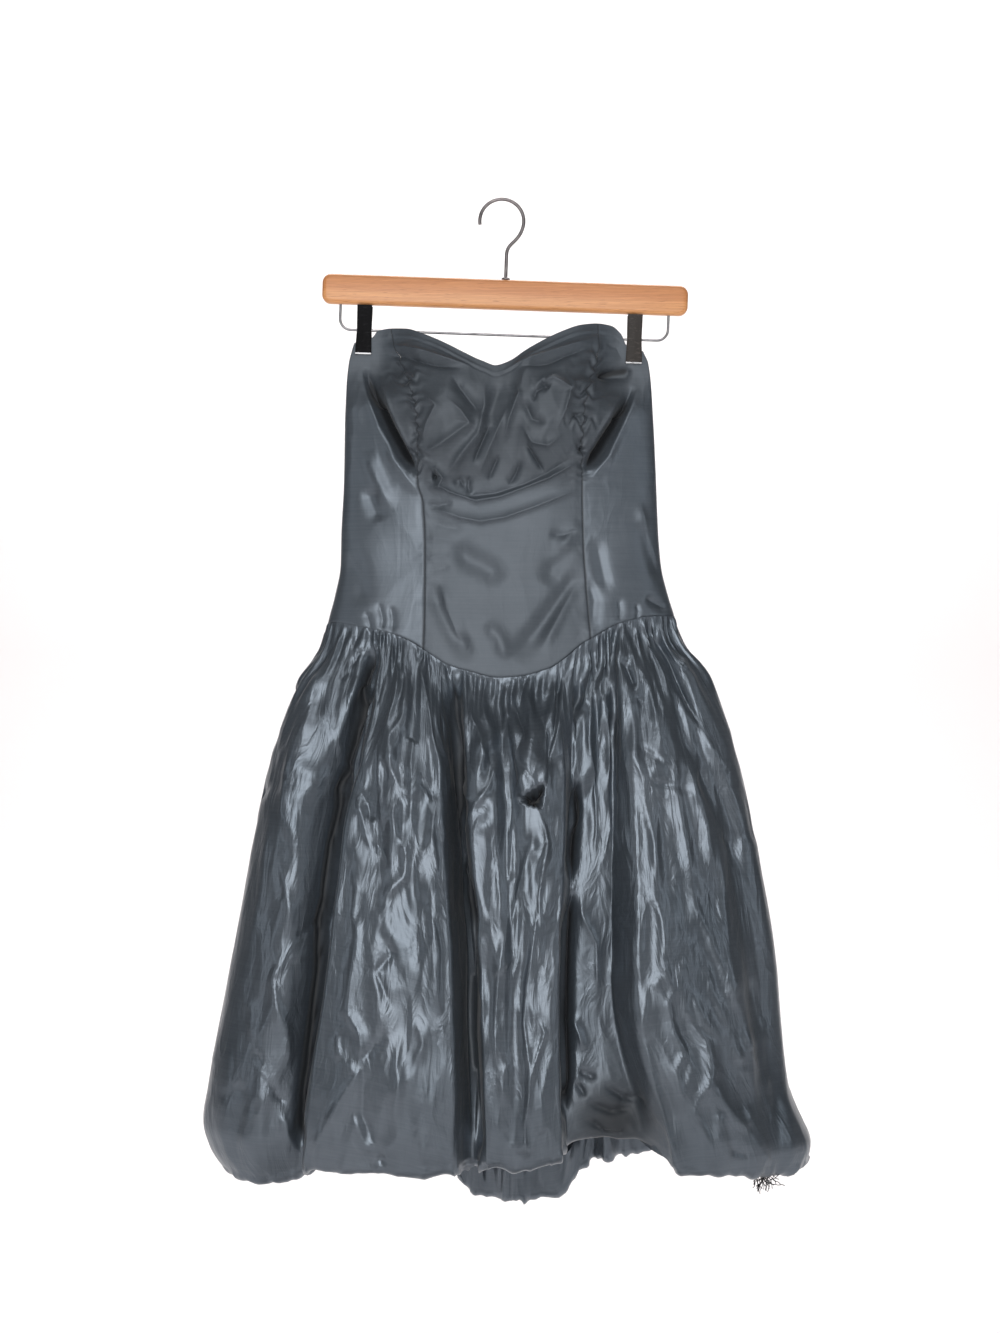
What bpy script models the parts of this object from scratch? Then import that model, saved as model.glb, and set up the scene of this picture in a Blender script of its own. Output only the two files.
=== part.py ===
"""A strapless taffeta dress with a sweetheart neckline, princess seams, a dropped waist that dips to a point
and a gathered bubble skirt, clipped at both sides to a wooden hanger.

The origin is where the hanger's hook bears on its peg. +X is to the right as the front is looked at, the
front faces -Y, and +Z is up. Sizes are in millimetres until a mesh is made.
"""

import math
from collections import namedtuple

import bmesh
import bpy
from mathutils import Vector

MM = 0.001
FRONT, BACK = -1, 1

# Cloth
BODICE_CLOTH = 1.8
SKIRT_CLOTH = 1.5
SEAM_GAP = 0.3
HALF_GAP = SEAM_GAP / 2
WAIST_GAP = 0.45  # wider, as the two edges are cut into straight stretches of unlike length

# Outline of the bodice: how far it reaches left and right and how deep its front and back bow, by height.
Section = namedtuple("Section", "z left right front back")
BODICE = [
    Section(-120, -144, 134, 18, 12),
    Section(-136, -147, 138, 22, 14),
    Section(-150, -151, 140, 25, 16),
    Section(-162, -154, 145, 27, 17),
    Section(-185, -156.5, 148, 29, 19),
    Section(-225, -158, 150.5, 31, 21),
    Section(-280, -159, 153, 32, 23),
    Section(-330, -161.5, 155, 34, 25),
    Section(-365, -162.5, 158, 36, 27),
    Section(-395, -168, 165, 38, 29),
    Section(-420, -174.5, 172.5, 41, 32),
    Section(-450, -180, 178, 44, 34),
    Section(-485, -184, 182, 46, 36),
]
# Outline of the skirt, which swells from the waist seam and rolls in again at the bubble hem.
SKIRT = [
    Section(-410, -172, 170, 40, 31),
    Section(-420, -174.5, 173, 42, 33),
    Section(-439, -183, 181, 48, 39),
    Section(-459, -190, 193, 53, 45),
    Section(-499, -207, 211, 63, 56),
    Section(-539, -221, 224, 73, 66),
    Section(-579, -231, 234, 82, 75),
    Section(-659, -249, 250, 97, 91),
    Section(-739, -262, 264, 109, 104),
    Section(-819, -276, 272, 118, 114),
    Section(-880, -286.5, 280, 124, 121),
    Section(-915, -291, 294, 124, 124),
    Section(-936, -286, 301, 121, 123),
    Section(-955, -275, 296, 115, 121),
    Section(-968, -262, 286, 108, 119),
    Section(-1000, -240, 262, 100, 112),
    Section(-1030, -235, 255, 96, 106),
]
SIDE_ROUNDING = 0.8  # below 1 the section is fuller at the sides than an ellipse
EDGE_TRIES = 6  # an edge's height and its place across depend on each other, so they are found in turns

# Edges and seams, as the front is looked at.
EdgePoint = namedtuple("EdgePoint", "x z")
NECKLINE = [
    EdgePoint(-160, -148),
    EdgePoint(-147, -143),
    EdgePoint(-131, -138),
    EdgePoint(-125, -131),
    EdgePoint(-113, -129),
    EdgePoint(-98, -130),
    EdgePoint(-78, -137),
    EdgePoint(-52, -149),
    EdgePoint(-20, -165),
    EdgePoint(-8, -169.5),
    EdgePoint(3, -166),
    EdgePoint(30, -149),
    EdgePoint(56, -135),
    EdgePoint(78, -127),
    EdgePoint(96, -124.5),
    EdgePoint(108, -126),
    EdgePoint(118, -134),
    EdgePoint(124, -146),
    EdgePoint(142, -152),
    EdgePoint(155, -160),
]
BACK_TOP = [
    EdgePoint(-160, -150),
    EdgePoint(-147, -142),
    EdgePoint(-128, -144),
    EdgePoint(-95, -160),
    EdgePoint(-50, -173),
    EdgePoint(-3, -178),
    EdgePoint(45, -174),
    EdgePoint(90, -163),
    EdgePoint(120, -152),
    EdgePoint(139, -154),
    EdgePoint(155, -161),
]
FRONT_WAIST = [
    EdgePoint(-190, -420.5),
    EdgePoint(-172, -421.3),
    EdgePoint(-137, -427),
    EdgePoint(-113, -432),
    EdgePoint(-91, -441),
    EdgePoint(-72, -453),
    EdgePoint(-54, -464),
    EdgePoint(-36, -469.5),
    EdgePoint(-4, -476.5),
    EdgePoint(14, -475.5),
    EdgePoint(46, -467),
    EdgePoint(60, -458),
    EdgePoint(78, -443),
    EdgePoint(92, -435),
    EdgePoint(112, -424),
    EdgePoint(127, -419.5),
    EdgePoint(143, -416),
    EdgePoint(170, -415),
    EdgePoint(190, -415),
]
BACK_WAIST = [
    EdgePoint(-190, -420.5),
    EdgePoint(-172, -421.3),
    EdgePoint(-90, -427),
    EdgePoint(-3, -431),
    EdgePoint(85, -424),
    EdgePoint(170, -415),
    EdgePoint(190, -415),
]
FRONT_HEM = [
    EdgePoint(-300, -964),
    EdgePoint(-238, -970),
    EdgePoint(-214, -965),
    EdgePoint(-200, -957),
    EdgePoint(-180, -950),
    EdgePoint(-60, -949),
    EdgePoint(-30, -946),
    EdgePoint(22, -945),
    EdgePoint(44, -937),
    EdgePoint(62, -926),
    EdgePoint(75, -922),
    EdgePoint(138, -924),
    EdgePoint(150, -932),
    EdgePoint(168, -953),
    EdgePoint(180, -954),
    EdgePoint(225, -956),
    EdgePoint(275, -962),
    EdgePoint(310, -960),
]
BACK_HEM = [
    EdgePoint(-300, -966),
    EdgePoint(-200, -974),
    EdgePoint(-90, -980),
    EdgePoint(-54, -990),
    EdgePoint(-42, -1012),
    EdgePoint(-28, -1022),
    EdgePoint(10, -1024),
    EdgePoint(50, -1023),
    EdgePoint(66, -1018),
    EdgePoint(80, -998),
    EdgePoint(98, -981),
    EdgePoint(150, -974),
    EdgePoint(240, -968),
    EdgePoint(310, -960),
]
LEFT_PRINCESS = [
    EdgePoint(-112, -125),
    EdgePoint(-106, -153),
    EdgePoint(-99, -172),
    EdgePoint(-90, -196),
    EdgePoint(-85, -224),
    EdgePoint(-85, -254),
    EdgePoint(-84, -284),
    EdgePoint(-79, -304),
    EdgePoint(-77, -345),
    EdgePoint(-77, -400),
    EdgePoint(-78, -440),
    EdgePoint(-80, -470),
]
RIGHT_PRINCESS = [
    EdgePoint(95, -120),
    EdgePoint(95, -150),
    EdgePoint(90, -173),
    EdgePoint(83, -196),
    EdgePoint(79, -226),
    EdgePoint(78, -255),
    EdgePoint(78, -290),
    EdgePoint(79, -345),
    EdgePoint(83, -400),
    EdgePoint(86, -440),
    EdgePoint(87, -470),
]

# The two filled-out bust cups: centre, reach across and up, and how far each stands forward.
Cup = namedtuple("Cup", "x z wide high proud")
CUPS = [Cup(-58, -214, 45, 58, 25), Cup(49, -212, 44, 58, 24)]

# Where the clips pinch the two layers together.
Pinch = namedtuple("Pinch", "x bottom")
PINCHES = [Pinch(-139, -163), Pinch(131, -172)]
PINCH_HALF_WIDTH = 12
PINCH_FADE = 46
PINCHED_FRONT = BODICE_CLOTH + 1.85  # from the middle plane, as the hanger's rail runs between the layers
PINCH_ROUNDING = 0.12

# Long hollows between folds. The edges of each floor and its depth are given at the heights in FOLD_HEIGHTS,
# and a flank is how far the cloth takes to climb out of it on each side.
Hollow = namedtuple("Hollow", "left_edge right_edge depth left_flank right_flank")
FOLD_HEIGHTS = (-450, -620, -780, -950)
FRONT_HOLLOWS = [
    Hollow((-130, -161, -180, -202), (-126, -157, -176, -198), (5, 26, 34, 24), 40, 10),
    Hollow((-53, -44, -35, -32), (-49, -40, -31, -28), (7, 30, 34, 14), 14, 16),
    Hollow((68, 69, 64, 64), (102, 110, 111, 142), (7, 28, 34, 26), 18, 22),
    Hollow((150, 213, 243, 256), (156, 219, 249, 262), (4, 9, 10, 6), 18, 14),
    Hollow((-2, 4, 12, 16), (2, 8, 16, 20), (4, 9, 6, 0), 12, 14),
]
BACK_HOLLOWS = [
    Hollow((-122, -160, -190, -204), (-118, -156, -186, -200), (5, 22, 28, 15), 24, 18),
    Hollow((-56, -76, -84, -62), (-52, -72, -80, -58), (6, 28, 32, 12), 14, 20),
    Hollow((24, 18, 6, 4), (28, 22, 10, 8), (5, 18, 20, 5), 20, 18),
    Hollow((82, 104, 118, 112), (86, 108, 122, 116), (6, 26, 32, 18), 14, 12),
    Hollow((140, 184, 214, 226), (144, 188, 218, 230), (4, 16, 18, 10), 16, 22),
]
# Drag folds of the side panels, from the clips down to the foot of the cups.
CREASE_HEIGHTS = (-160, -215, -275, -300)
LEFT_CREASE = Hollow((-138, -122, -100, -92), (-135, -119, -97, -89), (2, 8, 8, 0), 14, 13)
RIGHT_CREASE = Hollow((126, 115, 94, 88), (129, 118, 97, 91), (2, 8, 8, 0), 13, 14)

# Columns of each skirt panel: where the strips between hollows meet at the waist seam, how many columns each
# strip has, and how far each strip's crown stands out.
Strip = namedtuple("Strip", "seam_x columns crown")
FRONT_STRIPS = [
    Strip(None, 14, 6),
    Strip(-128, 20, 12),
    Strip(-51, 22, 9),
    Strip(69, 10, 0),
    Strip(106, 18, 7),
]
BACK_STRIPS = [
    Strip(None, 11, 6),
    Strip(-120, 11, 8),
    Strip(-54, 11, 8),
    Strip(26, 9, 7),
    Strip(84, 9, 8),
    Strip(142, 9, 4),
]
FRONT_GUIDES = [(-128, -159, -178, -200), (-51, -42, -33, -30), (69, 70, 63, 63), (106, 113, 114, 151)]
BACK_GUIDES = [
    (-120, -158, -188, -202),
    (-54, -74, -82, -60),
    (26, 20, 8, 6),
    (84, 106, 120, 114),
    (142, 186, 216, 228),
]
BODICE_ROWS = (0, 0.03, 0.06, 0.1, 0.14, 0.19, 0.24, 0.3, 0.36, 0.43, 0.5, 0.59, 0.7, 0.85, 1)
ROW_SHARES = (0, 0.015, 0.045, 0.09, 0.16, 0.26, 0.38, 0.51, 0.64, 0.77, 0.88, 0.95, 1)
HEM_ROWS = (1.17, 1.33, 1.5, 2)
# Gathers below the waist seam, and the pairs and fours that they merge into: how far each stands out, how
# many columns it spans, and over which drops below the seam it grows and fades.
Gather = namedtuple("Gather", "size columns grows_from grows_over fades_from fades_over")
GATHERS = [Gather(1.3, 1, -4, 12, 25, 70), Gather(1.9, 2, 0, 30, 110, 120), Gather(2.4, 4, 40, 80, 260, 200)]
CROWDING = 0.6  # how far the columns draw together towards the hollows
SEAM_PUFF = 4.5  # how far the skirt stands out from its seam
PUFF_DROP = 14
SEAM_EASE, WAIST_BLEND = 3, 60  # drops over which the skirt leaves the seam, and the bodice's curve
HOLLOWS_SETTLE, CROWNS_SETTLE = 50, 130  # drops at which the folds have their full depth
HEM_ROLL = 11  # radius on which the cloth turns under
HEM_RISE = 34  # how far the turned edge runs up inside, to where it is gathered in
HEM_LEAN = 6
HEM_GATHER = 3.2
HEM_SLACK = 0.3  # share of the hem's gathers left in the hollows
HEM_GUESS = -945  # about where the hem lies, to find a column's place along it

# Zip
BACK_CENTRE = -3
ZIP_WIDTH = 5.4
ZIP_COLUMNS, ZIP_ROWS = 2, 14
ZIP_BELOW_TOP = 1.5
SLIDER = Vector((6.2, 3.2, 10))
SLIDER_BELOW_TOP = 9
SLIDER_STAND = 0.5
PULL_WIDTH, PULL_LENGTH, PULL_THICK = 3.4, 19, 1.3
PULL_KNUCKLE = 1.5  # radius of the pull's rolled top end
SLIDER_EAR = 1.2
EAR_SINK = 0.6
EAR_DEEP = 4.9
EAR_TALL = 3.2
HINGE_UP = 2.4  # from the middle of the slider to the pull's hinge

# Hanger, drawn level and then tilted as it hangs
HANGER_TILT = 2.0
BAR_SIZE = Vector((365.5, 13, 30))
BAR_CENTRE = Vector((5.4, 0, -93.9))
BAR_CORNER, BAR_EDGE = 9, 4.5
HOOK_WIRE = 3.5
HOOK_RADIUS = 22
HOOK_CENTRE = (-0.5, HOOK_WIRE / 2 - HOOK_RADIUS)
HOOK_TIP_ANGLE, HOOK_END_ANGLE = 191, -14
HOOK_SHANK_TOP = -54
HOOK_LEAVES, HOOK_ARRIVES = 17, 13  # how straight the wire runs into each end of its easy bend
HOOK_STEPS, BEND_STEPS = 18, 8
RAIL_WIRE = 2.6
RAIL_DROP = 25.2  # from the bar's underside to the middle of the rail
RAIL_HALF_SPAN = 164
RAIL_BEND = 11
CLIP_WIDTH = 16.4
CLIP_XS = (-134.1, 136.0)
CLIP_BELOW, CLIP_ABOVE = 24.4, 24.6
CLIP_JAW_TALL = 7
CLIP_JAW = PINCHED_FRONT + 0.4  # from the middle plane to a jaw's face
CLIP_LEAF = 1.6
CLIP_BARREL = 3.8
CLIP_HANDLE_OUT = 8.0

COLOURS = {
    "taffeta": ((0.105, 0.125, 0.155), 0.38, 0.0),
    "wood": ((0.62, 0.36, 0.19), 0.45, 0.0),
    "steel": ((0.32, 0.31, 0.32), 0.3, 1.0),
    "black_metal": ((0.02, 0.019, 0.019), 0.4, 0.6),
    "zip": ((0.07, 0.08, 0.1), 0.45, 0.0),
}


# Smooth steps and tables
def clamp(value, low=0.0, high=1.0):
    return max(low, min(high, value))


def smooth(value):
    value = clamp(value)
    return value * value * (3 - 2 * value)


def curve_through(places, values, place):
    """A smooth curve through values at rising places, held level past both ends."""
    if place <= places[0]:
        return values[0]
    if place >= places[-1]:
        return values[-1]
    i = next(k for k in range(len(places) - 1) if place <= places[k + 1])
    span = places[i + 1] - places[i]

    def slope(k):
        if k in (0, len(places) - 1):
            return 0.0
        before = (values[k] - values[k - 1]) / (places[k] - places[k - 1])
        after = (values[k + 1] - values[k]) / (places[k + 1] - places[k])
        if before * after <= 0:
            return 0.0
        return 2 * before * after / (before + after)

    t = (place - places[i]) / span
    start, end = slope(i) * span, slope(i + 1) * span
    rise = values[i + 1] - values[i]
    return values[i] + t * (start + t * (3 * rise - 2 * start - end + t * (start + end - 2 * rise)))


def edge_height(edge, x):
    return curve_through([p.x for p in edge], [p.z for p in edge], x)


def seam_place(seam, z):
    return curve_through([-p.z for p in seam], [p.x for p in seam], -z)


def section_at(table, z):
    depths = [-row.z for row in table]
    return Section(z, *(curve_through(depths, [row[k] for row in table], -z) for k in range(1, 5)))


def at_heights(values, z, heights=FOLD_HEIGHTS):
    return curve_through([-h for h in heights], values, -z)


# Sections
def angle_of(section, x):
    """The angle round a section at which it has this x: -90 degrees at its left side, 0 in the middle."""
    middle, half = (section.left + section.right) / 2, (section.right - section.left) / 2
    return math.asin(clamp((x - middle) / half, -1, 1))


def section_point(section, angle, side):
    """The point of a section at an angle, on its front or back, and the direction straight out of it."""
    middle, half = (section.left + section.right) / 2, (section.right - section.left) / 2
    deep = section.front if side == FRONT else section.back
    across = max(math.cos(angle), 0.0)
    point = Vector((middle + half * math.sin(angle), side * deep * across**SIDE_ROUNDING, section.z))
    out = Vector((math.sin(angle) * deep, side * across * half, 0))
    return point, out.normalized()


def hollow_depth(hollow, x, z, heights=FOLD_HEIGHTS):
    left, right = at_heights(hollow.left_edge, z, heights), at_heights(hollow.right_edge, z, heights)
    if x < left:
        share = (left - x) / hollow.left_flank
    else:
        share = max(x - right, 0) / hollow.right_flank
    return at_heights(hollow.depth, z, heights) * (1 - smooth(share))


# Bodice
def pinch_at(x, z):
    """1 where a clip holds the two layers flat together, falling to 0 around it."""
    held = 0.0
    for pinch in PINCHES:
        across = max(abs(x - pinch.x) - PINCH_HALF_WIDTH, 0)
        below = max(pinch.bottom - z, 0)
        held = max(held, 1 - smooth(math.hypot(across, below) / PINCH_FADE))
    return held


def bodice_point(x, z, side):
    """The outer face of the bodice at a place seen from the front."""
    section = section_at(BODICE, z)
    angle = angle_of(section, x)
    point, out = section_point(section, angle, side)
    if side == FRONT:
        for cup in CUPS:
            reach = ((x - cup.x) / cup.wide) ** 2 + ((z - cup.z) / cup.high) ** 2
            point.y -= cup.proud * math.exp(-reach) * math.cos(angle)
        for crease in (LEFT_CREASE, RIGHT_CREASE):
            point -= out * hollow_depth(crease, x, z, CREASE_HEIGHTS)
    flat = side * PINCHED_FRONT * max(math.cos(angle), 0.0) ** PINCH_ROUNDING
    point.y += (flat - point.y) * pinch_at(x, z)
    return point


def bodice_edge_place(seam, z, section):
    """The x of a bodice seam, or of a side where the seam is LEFT or RIGHT."""
    if seam == "LEFT":
        return section.left
    if seam == "RIGHT":
        return section.right
    if isinstance(seam, (int, float)):
        return seam
    return seam_place(seam, z)


def bodice_panel(name, side, left_seam, right_seam, top, bottom, columns, rows):
    """One cut piece of the bodice, from one seam to the next."""

    def place(u, z):
        section = section_at(BODICE, z)
        start = angle_of(section, bodice_edge_place(left_seam, z, section))
        end = angle_of(section, bodice_edge_place(right_seam, z, section))
        middle, half = (section.left + section.right) / 2, (section.right - section.left) / 2
        x = middle + half * math.sin(start + (end - start) * u)
        if left_seam != "LEFT":
            x += HALF_GAP * (1 - u)
        if right_seam != "RIGHT":
            x -= HALF_GAP * u
        return x

    def point(u, v):
        high = low = place(u, BODICE[len(BODICE) // 2].z)
        for _ in range(EDGE_TRIES):
            high = place(u, edge_height(top, high))
            low = place(u, edge_height(bottom, low))
        z = edge_height(top, high) * (1 - v) + edge_height(bottom, low) * v
        return bodice_point(place(u, z), z, side)

    past = (0 if left_seam == "LEFT" else -1, 1 if right_seam == "RIGHT" else 2)
    return cloth_wall(name, point, side, columns, rows, BODICE_CLOTH, "taffeta", past)


# Skirt
def skirt_waist(strips, waist, share, strip):
    """The bodice point on the waist seam at a share of the way across one strip."""
    ends = [row.seam_x for row in strips] + [None]
    x = 0.0
    for _ in range(EDGE_TRIES):
        section = section_at(BODICE, edge_height(waist, x))
        left = section.left if ends[strip] is None else ends[strip]
        right = section.right if ends[strip + 1] is None else ends[strip + 1]
        start, end = angle_of(section, left), angle_of(section, right)
        middle, half = (section.left + section.right) / 2, (section.right - section.left) / 2
        x = middle + half * math.sin(start + (end - start) * share)
    return x


def skirt_panel(name, side, strips, guides, hollows, waist, hem, rows):
    """The front or back of the skirt: gathered along the waist seam, hollowed between its folds, and turned
    under at the hem, where its edge is gathered in."""
    total = sum(strip.columns for strip in strips)

    def strip_of(u):
        column = clamp(u) * total
        for number, strip in enumerate(strips):
            if column <= strip.columns or number == len(strips) - 1:
                return number, clamp(column / strip.columns)
            column -= strip.columns
        return number, 1.0

    def outer(u, z, drop):
        """The skirt's face at a column, at a height, a given way below the waist seam."""
        number, share = strip_of(u)
        section = section_at(SKIRT, z)
        bounds = [section.left] + [at_heights(path, z) for path in guides] + [section.right]
        start, end = angle_of(section, bounds[number]), angle_of(section, bounds[number + 1])
        settled = smooth(drop / CROWNS_SETTLE)
        crowded = 0.5 - 0.5 * math.cos(math.pi * share)
        spread = share + (crowded - share) * CROWDING * settled
        point, out = section_point(section, start + (end - start) * spread, side)
        stand = -sum(hollow_depth(hollow, point.x, z) for hollow in hollows) * smooth(drop / HOLLOWS_SETTLE)
        stand += strips[number].crown * math.sin(math.pi * share) * settled
        column = clamp(u) * total
        for gather in GATHERS:
            grown = smooth((drop - gather.grows_from) / gather.grows_over)
            left = 1 - smooth((drop - gather.fades_from) / gather.fades_over)
            stand += gather.size * math.cos(math.pi * column / gather.columns) * grown * left
        stand += SEAM_PUFF * smooth(drop / PUFF_DROP)
        return point, out, stand

    def waist_point(u):
        number, share = strip_of(u)
        x = skirt_waist(strips, waist, share, number)
        return bodice_point(x, edge_height(waist, x), side)

    def hem_height(u):
        x = outer(u, HEM_GUESS, -HEM_GUESS)[0].x
        return edge_height(hem, x)

    def point(u, v):
        """v runs from 0 at the waist to 1 where the hem starts to roll, to 2 at its gathered edge inside."""
        seam = waist_point(u)
        top, bottom = seam.z - WAIST_GAP, hem_height(u) + HEM_ROLL
        z = top + (bottom - top) * min(v, 1)
        drop = top - z
        base, out, stand = outer(u, z, drop)
        joined = smooth(drop / WAIST_BLEND)
        place = base + out * stand
        if joined < 1:
            near = Vector((seam.x, seam.y, z)) + out * stand * smooth(drop / SEAM_EASE)
            place = near + (place - near) * joined
        if v <= 1:
            return place
        turn = (v - 1) * 2
        if turn <= 1:
            angle = math.pi * turn
            return place - out * HEM_ROLL * (1 - math.cos(angle)) - Vector((0, 0, HEM_ROLL * math.sin(angle)))
        up = turn - 1
        fullness = HEM_SLACK + (1 - HEM_SLACK) * math.sin(math.pi * strip_of(u)[1])
        wave = HEM_GATHER * math.cos(math.pi * clamp(u) * total) * fullness * up
        return place - out * (2 * HEM_ROLL + HEM_LEAN * up + wave) + Vector((0, 0, HEM_RISE * up))

    return cloth_wall(name, point, side, [i / total for i in range(total + 1)], rows, SKIRT_CLOTH, "taffeta")


# Making meshes
CREASE_ANGLE = math.radians(50)


def material(name):
    found = bpy.data.materials.get(name)
    if found:
        return found
    colour, roughness, metallic = COLOURS[name]
    made = bpy.data.materials.new(name)
    made.use_nodes = True
    shader = made.node_tree.nodes["Principled BSDF"]
    shader.inputs["Base Color"].default_value = (*colour, 1)
    shader.inputs["Roughness"].default_value = roughness
    shader.inputs["Metallic"].default_value = metallic
    made.diffuse_color = (*colour, 1)
    return made


def add_object(name, data, finish):
    made = bpy.data.objects.new(name, data)
    made.data.materials.append(material(finish))
    dress.objects.link(made)
    return made


def cloth_wall(name, point, side, columns, rows, thick, finish, reach=(0, 1)):
    """A closed wall of cloth. point(u, v) is its outer face, and the inner face lies straight behind it.

    Where the cloth goes on past a seam, reach says that point may be asked beyond it, so both walls lean
    alike. Both faces are split along the same diagonals, so that they never meet.
    """
    step = 0.004
    outer, inner = [], []
    for r, v in enumerate(rows):
        outer_row, inner_row = [], []
        for u in columns:
            here = point(u, v)
            across = point(min(u + step, reach[1]), v) - point(max(u - step, reach[0]), v)
            down = point(u, min(v + step, rows[-1])) - point(u, max(v - step, rows[0]))
            out = down.cross(across) * -side
            if r in (0, len(rows) - 1):
                out.z = 0
            out.normalize()
            behind = here - out * thick
            if side == FRONT:
                here.y, behind.y = min(here.y, -HALF_GAP), min(behind.y, -HALF_GAP)
            else:
                here.y, behind.y = max(here.y, HALF_GAP), max(behind.y, HALF_GAP)
            outer_row.append(here)
            inner_row.append(behind)
        outer.append(outer_row)
        inner.append(inner_row)
    mesh = bpy.data.meshes.new(name)
    shell = bmesh.new()
    grids = [[[shell.verts.new(p * MM) for p in row] for row in grid] for grid in (outer, inner)]
    last_row, last_column = len(rows) - 1, len(columns) - 1
    for r in range(last_row):
        for c in range(last_column):
            falling = (outer[r][c] - outer[r + 1][c + 1]).length < (outer[r + 1][c] - outer[r][c + 1]).length
            for grid, turned in zip(grids, (False, True)):
                a, b, d, e = grid[r][c], grid[r + 1][c], grid[r + 1][c + 1], grid[r][c + 1]
                for corners in ([a, b, d], [a, d, e]) if falling else ([a, b, e], [b, d, e]):
                    shell.faces.new(corners[::-1] if turned else corners)
    border = [(0, c) for c in range(last_column)] + [(r, last_column) for r in range(last_row)]
    border += [(last_row, c) for c in range(last_column, 0, -1)] + [(r, 0) for r in range(last_row, 0, -1)]
    for (r0, c0), (r1, c1) in zip(border, border[1:] + border[:1]):
        shell.faces.new([grids[0][r0][c0], grids[0][r1][c1], grids[1][r1][c1], grids[1][r0][c0]])
    bmesh.ops.recalc_face_normals(shell, faces=shell.faces)
    shell.to_mesh(mesh)
    shell.free()
    mesh.shade_smooth()
    mesh.set_sharp_from_angle(angle=CREASE_ANGLE)
    return add_object(name, mesh, finish)


def even(count):
    return [i / count for i in range(count + 1)]


def tube(name, points, diameter, finish, sides=2):
    """A round wire through points."""
    curve = bpy.data.curves.new(name, "CURVE")
    curve.dimensions = "3D"
    curve.bevel_depth = diameter / 2 * MM
    curve.bevel_resolution = sides
    curve.use_fill_caps = True
    line = curve.splines.new("POLY")
    line.points.add(len(points) - 1)
    for spot, (x, z) in zip(line.points, points):
        spot.co = (x * MM, 0, z * MM, 1)
    return add_object(name, curve, finish)


# Hanger
def hanger_bar():
    mesh = bpy.data.meshes.new("hanger_bar")
    block = bmesh.new()
    bmesh.ops.create_cube(block, size=1)
    bmesh.ops.scale(block, vec=BAR_SIZE * MM, verts=block.verts)
    half_deep = BAR_SIZE.y * MM / 2
    corners = [e for e in block.edges if abs(e.verts[0].co.y - e.verts[1].co.y) > half_deep]
    bmesh.ops.bevel(block, geom=corners, offset=BAR_CORNER * MM, segments=4, affect="EDGES", profile=0.5)
    block.to_mesh(mesh)
    block.free()
    bar = add_object("hanger_bar", mesh, "wood")
    bar.location = BAR_CENTRE * MM
    edges = bar.modifiers.new("rounded edges", "BEVEL")
    edges.width = BAR_EDGE * MM
    edges.segments = 3
    edges.limit_method = "ANGLE"
    edges.angle_limit = math.radians(40)
    return bar


def hanger_hook():
    """The wire hook: an arc open to the left, an easy bend and a straight shank down to the bar."""
    centre = Vector(HOOK_CENTRE)
    arc = []
    for i in range(HOOK_STEPS + 1):
        angle = math.radians(HOOK_TIP_ANGLE + (HOOK_END_ANGLE - HOOK_TIP_ANGLE) * i / HOOK_STEPS)
        arc.append(tuple(centre + Vector((math.cos(angle), math.sin(angle))) * HOOK_RADIUS))
    shank_x = BAR_CENTRE.x
    bar_top = BAR_CENTRE.z + BAR_SIZE.z / 2
    start, end = Vector(arc[-1]), Vector((shank_x, HOOK_SHANK_TOP))
    end_angle = math.radians(HOOK_END_ANGLE)
    leave = Vector((math.sin(end_angle), -math.cos(end_angle))) * HOOK_LEAVES
    arrive = Vector((0, HOOK_ARRIVES))
    bend = []
    for i in range(1, BEND_STEPS + 1):
        t = i / BEND_STEPS
        spot = start * (1 - t) ** 3 + (start + leave) * 3 * t * (1 - t) ** 2
        spot += (end + arrive) * 3 * t * t * (1 - t) + end * t**3
        bend.append(tuple(spot))
    return tube("hanger_hook", arc + bend + [(shank_x, bar_top + SEAM_GAP)], HOOK_WIRE, "steel")


def hanger_rail():
    """The wire rail that the clips ride on: two short legs under the bar and a long level run."""
    under = BAR_CENTRE.z - BAR_SIZE.z / 2
    level = under - RAIL_DROP
    left, right = BAR_CENTRE.x - RAIL_HALF_SPAN, BAR_CENTRE.x + RAIL_HALF_SPAN
    points = [(left, under - SEAM_GAP)]
    for turn in range(0, 91, 18):
        angle = math.radians(turn)
        x = left + RAIL_BEND * (1 - math.cos(angle))
        points.append((x, level + RAIL_BEND * (1 - math.sin(angle))))
    points += [(left + right - x, z) for x, z in reversed(points)]
    return tube("hanger_rail", points, RAIL_WIRE, "steel")


def clip_outline():
    """The clip from the side, as (y, z) with the rail at the origin: two leaves joined by a barrel."""
    jaw, leaf, out = CLIP_JAW, CLIP_LEAF, CLIP_HANDLE_OUT
    half = [
        (0, -CLIP_BARREL),
        (jaw + 1.5, -CLIP_BARREL - 4),
        (jaw, -CLIP_BELOW + CLIP_JAW_TALL),
        (jaw, -CLIP_BELOW),
        (jaw + leaf + 0.6, -CLIP_BELOW),
        (jaw + leaf + 2.4, -CLIP_BARREL - 3),
        (CLIP_BARREL + 0.8, 0),
        (out, CLIP_ABOVE),
        (out - leaf, CLIP_ABOVE),
        (CLIP_BARREL - 0.8, CLIP_BARREL + 2),
        (0, CLIP_BARREL),
    ]
    mirrored = [(-y, z) for y, z in reversed(half[1:-1])]
    return half + mirrored


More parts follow.
